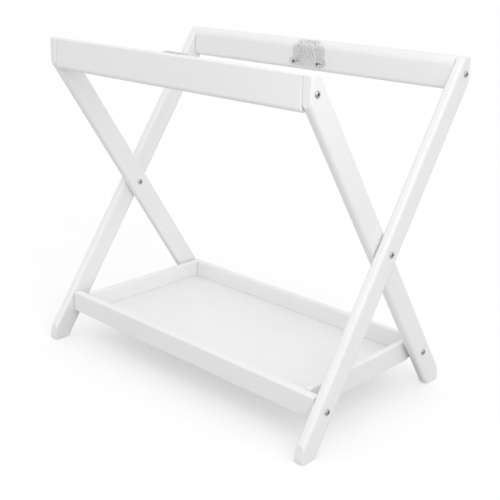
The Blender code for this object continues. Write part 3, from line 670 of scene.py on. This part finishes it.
def leg(side, name, top):
    """Inner or outer leg with its bolt and dowel holes."""
    hand = "right" if side > 0 else "left"
    node = f"{name}_leg_{hand}"
    rail = "back_rail" if top > 0 else "front_rail"
    low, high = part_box(node)
    top_y = high.y if top > 0 else -low.y
    toe_y = -low.y if top > 0 else high.y
    piece = object_from(node + "_painted", leg_shape(top, low.x, high.x, high.z, top_y, toe_y))
    lower_bolt = f"tray_pivot_bolt_{hand}" if top > 0 else f"catch_peg_{hand}"
    lower_radius = BOLT_RADIUS if top > 0 else PEG_RADIUS
    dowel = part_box(f"{rail}_dowel_{hand}")
    dowel_reach = sorted((dowel[0].x, dowel[1].x), key=abs)
    inner = low.x if side > 0 else high.x
    through = (low.x - CUT_SPARE, high.x + CUT_SPARE)
    carve(
        piece,
        [
            hole(f"{rail}_bolt_{hand}", BOLT_RADIUS + HOLE_SPARE, *through),
            hole(f"pivot_bolt_{hand}", SLEEVE_RADIUS + HOLE_SPARE, *through),
            hole(lower_bolt, lower_radius + HOLE_SPARE, *through),
            hole(
                f"{rail}_dowel_{hand}",
                DOWEL_RADIUS + HOLE_SPARE,
                *sorted((inner - side * CUT_SPARE, dowel_reach[1] + side * HOLE_SPARE)),
            ),
        ],
    )
    finish_piece(piece, LEG_PAINT[top], node)


for side in (-1, 1):
    leg(side, "inner", -1)
    leg(side, "outer", 1)


def nearer_end(box):
    """The X of the box's end that is nearer to the stand's middle."""
    return min((box[0].x, box[1].x), key=abs)


# Rails, rounded most on the inner top edge where the bassinet's rim rests.
def rail(name, back):
    low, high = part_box(name)
    big, bottom, small = RAIL_INNER_RADIUS, RAIL_BOTTOM_RADIUS, RAIL_OUTER_RADIUS
    radii = (small, big, bottom, bottom) if back > 0 else (big, small, bottom, bottom)
    outline = rounded_outline((low.y, low.z), (high.y, high.z), radii)
    bm = eased_bar("x", low.x, high.x, outline, RAIL_END_EASE)
    piece = object_from(name + "_painted", bm)
    shapes = []
    for side, hand in ((-1, "left"), (1, "right")):
        end = (low.x if side < 0 else high.x) + side * CUT_SPARE
        bolt_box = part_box(f"{name}_bolt_{hand}")
        dowel_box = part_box(f"{name}_dowel_{hand}")
        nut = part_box(f"{name}_barrel_nut_{hand}")
        bolt_tip = nearer_end(bolt_box) - side * CUT_SPARE
        dowel_tip = nearer_end(dowel_box) - side * HOLE_SPARE
        shapes += [
            hole(f"{name}_bolt_{hand}", BOLT_RADIUS + HOLE_SPARE, *sorted((bolt_tip, end))),
            hole(f"{name}_dowel_{hand}", DOWEL_RADIUS + HOLE_SPARE, *sorted((dowel_tip, end))),
        ]
        middle = (nut[0] + nut[1]) / 2
        shapes.append(
            rod(
                (middle.x, middle.y, low.z - TOOL_REACH),
                (middle.x, middle.y, nut[1].z + HOLE_SPARE),
                BARREL_NUT_RADIUS + HOLE_SPARE,
            )
        )
        clip = name.replace("rail", "clip")
        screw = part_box(f"{clip}_screw_{hand}")
        middle = (screw[0] + screw[1]) / 2
        shapes.append(
            rod(
                (middle.x, back * (min(abs(low.y), abs(high.y)) - TOOL_REACH), middle.z),
                (middle.x, back * (max(abs(screw[0].y), abs(screw[1].y)) + HOLE_SPARE), middle.z),
                SCREW_RADIUS + HOLE_SPARE,
                24,
            )
        )
    carve(piece, shapes)
    finish_piece(piece, RAIL_PAINT, name)


rail("front_rail", -1)
rail("back_rail", 1)


# Tray boards with rounded upper edges, grooved for the base panel.
def board_bar(node, axis):
    """A board along X or Y. An end board, along Y, stops a joint's width short of the front board."""
    low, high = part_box(node)
    if axis == "y":
        low.y += BOARD_JOINT_GAP
    radii = (BOARD_EDGE_RADIUS, BOARD_EDGE_RADIUS, BOARD_END_EASE, BOARD_END_EASE)
    if axis == "x":
        outline = rounded_outline((low.y, low.z), (high.y, high.z), radii, BOARD_STEP)
        return eased_bar("x", low.x, high.x, outline, BOARD_END_EASE)
    outline = rounded_outline((low.x, low.z), (high.x, high.z), radii, BOARD_STEP)
    return eased_bar("y", low.y, high.y, outline, BOARD_JOINT_EASE)


def grown_box(node, spare):
    low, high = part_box(node)
    room = Vector((spare, spare, spare))
    return block(low - room, high + room)


def dowel_hole(node, axis):
    """Room for a tray dowel that lies along X or Y."""
    low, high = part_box(node)
    middle = (low + high) / 2
    run = Vector(((high.x - low.x) / 2 + HOLE_SPARE, 0.0, 0.0))
    if axis == "y":
        run = Vector((0.0, (high.y - low.y) / 2 + HOLE_SPARE, 0.0))
    return rod(middle - run, middle + run, TRAY_DOWEL_RADIUS + HOLE_SPARE, 24)


def catch_pocket(side, hand):
    """The slot that drops over the peg, slanting forward as it falls to the board's bottom edge."""
    low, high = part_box("tray_end_board_" + hand)
    peg = centre("catch_peg_" + hand)
    outside = high.x if side > 0 else low.x
    faces = sorted((outside - side * CATCH_DEPTH, outside + side * TOOL_REACH))
    bm = turned([(faces[0], 0.0), (faces[0], CATCH_RADIUS), (faces[1], CATCH_RADIUS), (faces[1], 0.0)])
    fall = peg.z - low.z + CATCH_RADIUS
    for vert in bm.verts:
        if vert.co.z < -CATCH_RADIUS * 0.05:
            vert.co.y = vert.co.y * CATCH_FLARE - fall * math.tan(CATCH_SLANT)
            vert.co.z -= fall
    bmesh.ops.translate(bm, vec=(0.0, peg.y, peg.z), verts=bm.verts[:])
    return bm


def board_seam(side, hand):
    """The fine upright seam halfway along an end board's inner face."""
    end_low, end_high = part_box("tray_end_board_" + hand)
    inside = end_low.x if side > 0 else end_high.x
    middle = (end_low.y + end_high.y) / 2
    bottom, top = end_low.z - CUT_SPARE, end_high.z + CUT_SPARE
    return rod((inside, middle, bottom), (inside, middle, top), BOARD_SEAM, 4)


def pivot_holes(side, hand):
    """Room in the front board's end for the threaded insert and for the bolt's tip behind it."""
    insert_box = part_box("tray_pivot_insert_" + hand)
    bolt_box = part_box("tray_pivot_bolt_" + hand)
    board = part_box("tray_front_board")
    board_end = (board[1].x if side > 0 else board[0].x) + side * CUT_SPARE
    insert_tip = nearer_end(insert_box) - side * HOLE_SPARE
    bolt_tip = nearer_end(bolt_box) - side * CUT_SPARE
    node = "tray_pivot_bolt_" + hand
    return [
        hole(node, INSERT_RADIUS + HOLE_SPARE, *sorted((insert_tip, board_end))),
        hole(node, BOLT_RADIUS + HOLE_SPARE, *sorted((bolt_tip, board_end))),
    ]


def tray_board(node, axis, paint, shapes):
    board = object_from(node + "_painted", board_bar(node, axis))
    carve(board, shapes)
    finish_piece(board, paint, node)


PANEL = "tray_base_panel"
front_shapes = [grown_box(PANEL, HOLE_SPARE)]
back_shapes = [grown_box(PANEL, HOLE_SPARE)]
for side, hand in ((-1, "left"), (1, "right")):
    front_shapes.append(dowel_hole("tray_front_dowel_" + hand, "y"))
    back_shapes.append(dowel_hole("tray_back_dowel_" + hand, "x"))
    front_shapes += pivot_holes(side, hand)
    end_shapes = [
        board_seam(side, hand),
        grown_box(PANEL, HOLE_SPARE),
        catch_pocket(side, hand),
        dowel_hole("tray_front_dowel_" + hand, "y"),
        dowel_hole("tray_back_dowel_" + hand, "x"),
    ]
    tray_board("tray_end_board_" + hand, "y", BOARD_PAINT, end_shapes)
tray_board("tray_front_board", "x", RAIL_PAINT, front_shapes)
tray_board("tray_back_board", "x", RAIL_PAINT, back_shapes)

low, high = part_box(PANEL)
sheet_outline = rounded_outline((low.y, low.z), (high.y, high.z), (SHEET_EASE,) * 4, SHEET_STEP)
sheet = object_from(PANEL + "_painted", eased_bar("x", low.x, high.x, sheet_outline, SHEET_EASE, 2))
finish_piece(sheet, SHEET_PAINT, PANEL)


# Bolts: low domed heads with a hexagon socket, and a threaded end.
def dome():
    """Points of a bolt's low round head, from its rim to the flat round its socket."""
    radius, thickness, rim = BOLT_HEAD_RADIUS, BOLT_HEAD_THICKNESS, HEAD_RIM
    flat = radius * BOLT_HEAD_FLAT
    ball = ((radius - flat) ** 2 + (thickness - rim) ** 2) / (2 * (thickness - rim))
    points = [(0.0, radius - HEAD_EASE), (HEAD_EASE, radius), (rim, radius)]
    for number in range(1, HEAD_STEPS + 1):
        reach = radius - (radius - flat) * number / HEAD_STEPS
        x = thickness - ball + math.sqrt(max(ball**2 - (reach - flat) ** 2, 0.0))
        points.append((x, reach))
    return points


def threaded(length, radius):
    """Points of a bolt's shank from its tip to under the head."""
    thread_end = -length + min(THREAD_LENGTH, length * THREAD_SHARE)
    points = [(-length, 0.0), (-length, radius * SHANK_TIP_SHARE)]
    x = -length + SHANK_TIP
    while x + THREAD_PITCH < thread_end:
        points.append((x, radius))
        points.append((x + THREAD_PITCH / 2, radius * THREAD_ROOT))
        x += THREAD_PITCH
    points.append((x, radius))
    points.append((-SHANK_NECK, radius))
    points.append((0.0, radius + SHANK_NECK))
    return points


def hexagon_socket():
    """A hexagonal hole in a bolt's head, and its eased mouth."""
    face_x, corner = BOLT_HEAD_THICKNESS, SOCKET_CORNER
    bm = bmesh.new()
    bmesh.ops.create_cone(
        bm, cap_ends=True, segments=6, radius1=corner, radius2=corner, depth=SOCKET_DEPTH * 2
    )
    bmesh.ops.transform(bm, matrix=Matrix.Rotation(math.pi / 2, 4, "Y"), verts=bm.verts[:])
    bmesh.ops.translate(bm, vec=(face_x, 0.0, 0.0), verts=bm.verts[:])
    below, narrow, above, wide = SOCKET_MOUTH
    mouth = [(face_x - below, 0.0), (face_x - below, corner * narrow)]
    mouth += [(face_x + above, corner * wide), (face_x + above, 0.0)]
    return [bm, turned(mouth)]


def placed(piece, side, under_head, middle):
    """Puts a part modelled along +X at its seat, turned round for the left side."""
    turn = Matrix.Rotation(math.pi, 4, "Z") if side < 0 else Matrix.Identity(4)
    piece.data.transform(Matrix.Translation((under_head, middle.y, middle.z)) @ turn)


def finish_bolt(piece, node, side, under_head):
    """Dresses a bolt, its socket painted darker than its head as painted shade in the recess, and puts it
    in its place.
    """
    reach = SOCKET_CORNER + SOCKET_SPARE
    inside = [
        face.index
        for face in piece.data.polygons
        if face.center.x > 0.0
        and face.center.yz.length < reach
        and (abs(face.normal.x) < 0.5 or face.center.x < BOLT_HEAD_THICKNESS - SOCKET_LIP)
    ]
    placed(piece, side, under_head, centre(node))
    finish_piece(piece, BOLT_STEEL, node, SMOOTH_METAL)
    # The faces inside the socket take the darker steel, which is painted shade in the recess.
    piece.data.materials.append(SOCKET_SHADE_STEEL)
    for index in inside:
        piece.data.polygons[index].material_index = 1


def bolt(node, side, radius):
    low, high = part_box(node)
    length = high.x - low.x - BOLT_HEAD_THICKNESS
    under_head = (high.x if side > 0 else low.x) - side * BOLT_HEAD_THICKNESS
    profile = threaded(length, radius) + dome() + [(BOLT_HEAD_THICKNESS, 0.0)]
    piece = object_from(node + "_turned", turned(profile))
    carve(piece, hexagon_socket())
    finish_bolt(piece, node, side, under_head)


def ring(node, sizes, bore):
    """A nylon washer or spacer, from its outer radius and chamfer, round a shank."""
    outer, chamfer = sizes
    inner = bore + HOLE_SPARE
    low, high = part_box(node)
    half = (high.x - low.x) / 2
    profile = [
        (-half, inner + chamfer),
        (-half, outer - chamfer),
        (-half + chamfer, outer),
        (half - chamfer, outer),
        (half, outer - chamfer),
        (half, inner + chamfer),
        (half - chamfer, inner),
        (-half + chamfer, inner),
    ]
    piece = object_from(node + "_turned", turned(profile))
    placed(piece, 1, (low.x + high.x) / 2, (low + high) / 2)
    finish_piece(piece, NYLON, node, SMOOTH_RING)


def sleeve_nut(node, side):
    """The pivot's sleeve with a domed flange that faces the middle of the stand."""
    low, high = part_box(node)
    length = high.x - low.x - BOLT_HEAD_THICKNESS
    under_head = (low.x if side > 0 else high.x) + side * BOLT_HEAD_THICKNESS
    bore = BOLT_RADIUS + HOLE_SPARE
    rim = SLEEVE_RIM
    profile = [(-length, bore + SLEEVE_MOUTH), (-length, SLEEVE_RADIUS - rim)]
    profile += [(-length + rim, SLEEVE_RADIUS), (0.0, SLEEVE_RADIUS)]
    profile += dome() + [(BOLT_HEAD_THICKNESS, 0.0)]
    profile += [(-SLEEVE_FLOOR, 0.0), (-SLEEVE_FLOOR, bore), (-length + SLEEVE_MOUTH, bore)]
    bm = turned(profile)
    # The two middle points of the profile lie on the axis and leave an edge without faces.
    wires = [edge for edge in bm.edges if not edge.link_faces]
    bmesh.ops.delete(bm, geom=wires, context="EDGES")
    piece = object_from(node + "_turned", bm)
    carve(piece, hexagon_socket())
    finish_bolt(piece, node, -side, under_head)


for side, hand in ((-1, "left"), (1, "right")):
    for place in ("front_rail", "back_rail", "pivot", "tray_pivot"):
        bolt(f"{place}_bolt_{hand}", side, BOLT_RADIUS)
    bolt("catch_peg_" + hand, side, PEG_RADIUS)
    sleeve_nut("pivot_sleeve_nut_" + hand, side)
    ring("pivot_washer_" + hand, PIVOT_WASHER, SLEEVE_RADIUS)
    ring("tray_pivot_washer_" + hand, TRAY_WASHER, BOLT_RADIUS)
    ring("catch_spacer_" + hand, CATCH_SPACER, PEG_RADIUS)


# Clips: a ribbed clear plate that holds the bassinet's rim, on a dished base with two screws.
def along_y(run, _middle):
    return abs(run.y) > 0.9


def along_y_at(height):
    return lambda run, middle: along_y(run, middle) and abs(middle.z - height) < NEAR


def eased_block(low, high, ease, corners=()):
    """A box whose corners at given heights are rounded first, then every sharp rim eased."""
    bm = block(low, high)
    for height, radius in corners:
        round_edges(bm, along_y_at(height), radius, 8)
    round_sharp_edges(bm, ease, 3, SHARP)
    return bm


def disc(x, y_low, y_high, z, radius):
    return rod((x, y_low, z), (x, y_high, z), radius, 40)


def rib_shape(x_low, x_high, front, inside, rib_back, low_z, high_z, seat_z):
    """A rib whose back follows the rail's rounded top edge; y = 0 is the clip's back."""
    seat = RAIL_INNER_RADIUS + HOLE_SPARE
    outline = [(front, high_z), (front, low_z), (inside, low_z)]
    rib_end = math.acos((seat - rib_back) / seat)
    steps = 10
    outline.append((inside, seat_z + seat * math.sin(CLIP_RIB_START)))
    for number in range(steps + 1):
        angle = CLIP_RIB_START + (rib_end - CLIP_RIB_START) * number / steps
        outline.append((seat - seat * math.cos(angle), seat_z + seat * math.sin(angle)))
    outline.append((rib_back, high_z))
    bm = bmesh.new()
    near = [bm.verts.new((x_low, y, z)) for y, z in outline]
    far = [bm.verts.new((x_high, y, z)) for y, z in outline]
    bm.faces.new(near)
    bm.faces.new(far)
    for number in range(len(outline)):
        after = (number + 1) % len(outline)
        bm.faces.new((near[number], near[after], far[after], far[number]))
    bmesh.ops.recalc_face_normals(bm, faces=bm.faces[:])
    round_sharp_edges(bm, CLIP_RIB_EASE, 2, SHARP)
    return bm


def clip(name, back):
    """A clip modelled with its back at y = 0 and its front toward -Y, then put on its rail."""
    low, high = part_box(name)
    rail_low, rail_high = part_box(name.replace("clip", "rail"))
    wall = min(abs(rail_low.y), abs(rail_high.y)) - HOLE_SPARE
    front = min(abs(low.y), abs(high.y)) - wall
    rib_back = max(abs(low.y), abs(high.y)) - wall
    half_base = (high.x - low.x) / 2
    half_wing = CLIP_WING_WIDTH / 2
    half_centre = CLIP_CENTRE_WIDTH / 2
    half_rib = CLIP_RIB_THICKNESS / 2
    base_top = low.z + CLIP_BASE_HEIGHT
    seat_z = rail_high.z - RAIL_INNER_RADIUS

    wings = eased_block(
        (-half_wing, -CLIP_PLATE, low.z),
        (half_wing, 0.0, high.z - CLIP_WING_DROP),
        CLIP_PLATE_EASE,
        ((high.z - CLIP_WING_DROP, CLIP_WING_RADIUS),),
    )
    piece = object_from(name + "_moulded", wings)
    joined = [
        eased_block((-half_centre, -CLIP_PLATE, base_top), (half_centre, 0.0, high.z), CLIP_PLATE_EASE),
        eased_block(
            (-half_base, front, low.z),
            (half_base, 0.0, base_top),
            CLIP_BASE_EASE,
            ((low.z, CLIP_BASE_LOW_RADIUS), (base_top, CLIP_BASE_TOP_RADIUS)),
        ),
    ]
    rib_step = (CLIP_CENTRE_WIDTH - CLIP_RIB_THICKNESS) / (CLIP_RIBS - 1)
    rib_places = [-half_centre + half_rib + number * rib_step for number in range(CLIP_RIBS)]
    rib_front = -CLIP_PLATE - CLIP_RIB_FRONT
    for x in rib_places:
        joined.append(
            rib_shape(
                x - half_rib,
                x + half_rib,
                rib_front,
                -CLIP_PLATE / 2,
                rib_back,
                base_top - CLIP_PLATE,
                high.z - CLIP_RIB_DROP,
                seat_z,
            )
        )
    carve(piece, joined, "UNION")

    # The windows between the ribs and the dish in the base's front.
    half_window = rib_step / 2 - half_rib - CLIP_WINDOW_RIM
    window_top = high.z - CLIP_WINDOW_BAR
    cuts = []
    for x in rib_places[:-1]:
        middle = x + rib_step / 2
        cuts.append(
            block(
                (middle - half_window, -2 * CLIP_PLATE, window_top - CLIP_WINDOW_HEIGHT),
                (middle + half_window, 2 * CLIP_PLATE, window_top),
            )
        )
        round_edges(cuts[-1], along_y, CLIP_WINDOW_RIM, 4)
    inset = CLIP_DISH_INSET
    dish_low, dish_top = low.z + inset, base_top - inset
    dish = eased_block(
        (-half_base + inset, front - CLIP_DISH_DEPTH, dish_low),
        (half_base - inset, front + CLIP_DISH_DEPTH, dish_top),
        CLIP_DISH_EASE,
        ((dish_low, CLIP_BASE_LOW_RADIUS - inset), (dish_top, CLIP_BASE_TOP_RADIUS - inset)),
    )
    cuts.append(dish)
    carve(piece, cuts)

    # A seat round each screw and an open eye at each end of the base.
    seats, holes = [], []
    eye_x = half_base - CLIP_EYE_INSET
    seat_front, seat_back = front + CLIP_SEAT_STEP, front + CLIP_SEAT_REACH
    outside = front - CLIP_HOLE_REACH
    for side, hand in ((-1, "left"), (1, "right")):
        screw = centre(f"{name}_screw_{hand}")
        for x, radius in ((back * screw.x, CLIP_SEAT_RADIUS), (side * eye_x, CLIP_EYE_RADIUS)):
            seats.append(disc(x, seat_front, seat_back, screw.z, radius))
            round_sharp_edges(seats[-1], CLIP_SEAT_EASE, 2, SHARP)
        holes.append(disc(back * screw.x, outside, CLIP_HOLE_REACH, screw.z, SCREW_RADIUS + HOLE_SPARE))
        holes.append(disc(side * eye_x, outside, front + CLIP_EYE_DEPTH, screw.z, CLIP_EYE_HOLE))
    carve(piece, seats, "UNION")
    carve(piece, holes)
    turn = Matrix.Rotation(math.pi, 4, "Z") if back < 0 else Matrix.Identity(4)
    piece.data.transform(turn @ Matrix.Translation((0.0, wall, 0.0)))
    finish_piece(piece, CLEAR, name, SMOOTH_CLIP)


def clip_screw(node, back):
    """A pan-head wood screw with a cross recess, its head toward the middle of the stand."""
    low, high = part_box(node)
    length = high.y - low.y - SCREW_HEAD_HEIGHT
    radius = SCREW_RADIUS
    x = -length + radius * 2
    profile = [(-length, 0.0), (x, radius * SCREW_TIP)]
    while x < -length * SCREW_PLAIN_SHARE:
        profile.append((x + SCREW_CREST, radius))
        profile.append((x + SCREW_ROOT_PLACE, radius * SCREW_ROOT))
        x += SCREW_PITCH
    neck = radius * SCREW_NECK
    profile += [(x + SCREW_CREST, neck), (-SCREW_CREST, neck), (0.0, radius)]
    profile += [(0.0, SCREW_HEAD_RADIUS - HEAD_EASE), (HEAD_EASE, SCREW_HEAD_RADIUS)]
    for number in range(HEAD_STEPS + 1):
        angle = math.pi / 2 * number / HEAD_STEPS
        x = HEAD_RIM + (SCREW_HEAD_HEIGHT - HEAD_RIM) * math.sin(angle)
        share = SCREW_HEAD_FLAT + (1 - SCREW_HEAD_FLAT) * math.cos(angle)
        profile.append((x, SCREW_HEAD_RADIUS * share))
    profile.append((SCREW_HEAD_HEIGHT, 0.0))
    piece = object_from(node + "_turned", turned(profile, 32))
    half_width, half_length = SCREW_CROSS_WIDTH / 2, SCREW_CROSS_LENGTH / 2
    bottom, top = SCREW_HEAD_HEIGHT - SCREW_CROSS_DEPTH, SCREW_HEAD_HEIGHT + SCREW_CROSS_SPARE
    carve(
        piece,
        [
            block((bottom, -half_width, -half_length), (top, half_width, half_length)),
            block((bottom, -half_length, -half_width), (top, half_length, half_width)),
        ],
    )
    middle = (low + high) / 2
    under_head = back * (min(abs(low.y), abs(high.y)) + SCREW_HEAD_HEIGHT)
    turn = Matrix.Rotation(-back * math.pi / 2, 4, "Z")
    piece.data.transform(Matrix.Translation((middle.x, under_head, middle.z)) @ turn)
    finish_piece(piece, SCREW_STEEL, node, SMOOTH_METAL)


for end, back in (("front", -1), ("back", 1)):
    clip(end + "_clip", back)
    for hand in ("left", "right"):
        clip_screw(f"{end}_clip_screw_{hand}", back)


# Camera, lights and floor. The camera's turns, in radians, and its place were fitted to measured points.
CAMERA_TURNS = (0.7520201, -0.2684143, 0.0242855)
CAMERA_PLACE = (1.2700618, -1.3386023, 0.8776179)
CAMERA_LENS = 66.189
CAMERA_SHIFT = -0.108
FLOOR_REACH = 30.0
FLOOR_COLOUR = (1.0, 1.0, 1.0)
FLOOR_COLOUR_DARK = (0.993, 0.993, 0.993)
FLOOR_BOUNCE = (0.62, 0.62, 0.62)
FLOOR_GLOW = 0.46
SKY_LIGHT = 0.94
KEY_STRENGTH = 0.39
KEY_SPREAD = math.radians(40)
KEY_FROM = (0.80, -0.37, 0.47)
LAMP_SIZE = 0.5
# Each soft lamp's place, the place it faces and its power in watts.
LAMPS = {
    "fill_front_right": ((0.75, -0.45, 0.95), (0.35, -0.2, 0.6), 1.1),
    "fill_front": ((-0.2, -0.9, 0.9), (0.0, 0.0, 0.4), 0.2),
}


def add_camera():
    """The photograph's viewing angle for a 500 x 500 picture."""
    yaw, pitch, roll = CAMERA_TURNS
    forward = Vector(
        (-math.sin(yaw) * math.cos(pitch), math.cos(yaw) * math.cos(pitch), math.sin(pitch))
    )
    level = Vector((math.cos(yaw), math.sin(yaw), 0.0))
    upward = level.cross(forward)
    right = level * math.cos(roll) + upward * math.sin(roll)
    up = upward * math.cos(roll) - level * math.sin(roll)
    turn = Matrix((right, up, -forward)).transposed().to_4x4()
    data = bpy.data.cameras.new("camera")
    data.sensor_width = 36.0
    data.lens = CAMERA_LENS
    data.shift_y = CAMERA_SHIFT
    data.clip_start = 0.05
    data.clip_end = 200.0
    camera = bpy.data.objects.new("camera", data)
    camera.matrix_world = Matrix.Translation(CAMERA_PLACE) @ turn
    bpy.context.scene.collection.objects.link(camera)
    bpy.context.scene.camera = camera


def add_floor():
    """A pale floor that keeps the stand's shadow; it throws back less light than it shows."""
    bm = bmesh.new()
    bmesh.ops.create_grid(bm, x_segments=8, y_segments=8, size=FLOOR_REACH)
    floor = object_from("floor", bm)
    material, tree, shader = new_material("studio_floor")
    grain = noise(tree, object_place(tree), 3.0, 2.0, 0.5)
    seen_colour = mix_colours(tree, grain, FLOOR_COLOUR, FLOOR_COLOUR_DARK)
    path = tree.nodes.new("ShaderNodeLightPath")
    colour = add_node(tree, "ShaderNodeMix", data_type="RGBA")
    colour.inputs["A"].default_value = (*FLOOR_BOUNCE, 1.0)
    tree.links.new(path.outputs["Is Camera Ray"], colour.inputs["Factor"])
    tree.links.new(seen_colour, colour.inputs["B"])
    tree.links.new(colour.outputs["Result"], shader.inputs["Base Color"])
    shader.inputs["Roughness"].default_value = 0.9
    shader.inputs["Specular IOR Level"].default_value = 0.1
    glow = add_node(tree, "ShaderNodeEmission")
    glow.inputs["Strength"].default_value = 1.0
    share = spread(tree, path.outputs["Is Camera Ray"], 0.0, 1.0, 0.0, FLOOR_GLOW)
    mixed = tree.nodes.new("ShaderNodeMixShader")
    tree.links.new(share, mixed.inputs["Fac"])
    tree.links.new(shader.outputs["BSDF"], mixed.inputs[1])
    tree.links.new(glow.outputs["Emission"], mixed.inputs[2])
    tree.links.new(mixed.outputs["Shader"], tree.nodes["Material Output"].inputs["Surface"])
    floor.data.materials.append(material)


def add_world():
    """Even white surroundings: full white where seen, softer as a light."""
    world = bpy.data.worlds.new("studio")
    bpy.context.scene.world = world
    world.use_nodes = True
    tree = world.node_tree
    background = tree.nodes["Background"]
    background.inputs["Color"].default_value = (1.0, 1.0, 1.0, 1.0)
    path = tree.nodes.new("ShaderNodeLightPath")
    seen = add_node(tree, "ShaderNodeMath", operation="MAXIMUM")
    tree.links.new(path.outputs["Is Camera Ray"], seen.inputs[0])
    tree.links.new(path.outputs["Is Transmission Ray"], seen.inputs[1])
    strength = spread(tree, seen.outputs["Value"], 0.0, 1.0, SKY_LIGHT, 1.0)
    tree.links.new(strength, background.inputs["Strength"])


def add_key():
    """The soft main light, from the right and a little from the front."""
    data = bpy.data.lights.new("key", "SUN")
    data.energy = KEY_STRENGTH
    data.angle = KEY_SPREAD
    lamp = bpy.data.objects.new("key", data)
    lamp.matrix_world = Vector(KEY_FROM).to_track_quat("Z", "Y").to_matrix().to_4x4()
    bpy.context.scene.collection.objects.link(lamp)


def add_panel_lamp(name, place, aim, power):
    """A square soft lamp near the stand."""
    data = bpy.data.lights.new(name, "AREA")
    data.shape = "SQUARE"
    data.size = LAMP_SIZE
    data.energy = power
    lamp = bpy.data.objects.new(name, data)
    place, aim = Vector(place), Vector(aim)
    turn = (place - aim).to_track_quat("Z", "Y").to_matrix().to_4x4()
    lamp.matrix_world = Matrix.Translation(place) @ turn
    bpy.context.scene.collection.objects.link(lamp)


add_camera()
add_floor()
add_world()
add_key()
for name, (place, aim, power) in LAMPS.items():
    add_panel_lamp(name, place, aim, power)
bpy.context.scene.view_settings.view_transform = "Standard"

# The CAD nodes that stay as they are: hidden fasteners.
for node, thing in frame["nodes"].items():
    if thing.hide_render:
        continue
    thing.data.materials.clear()
    thing.data.materials.append(BEECH if "dowel" in node else PLAIN_STEEL)
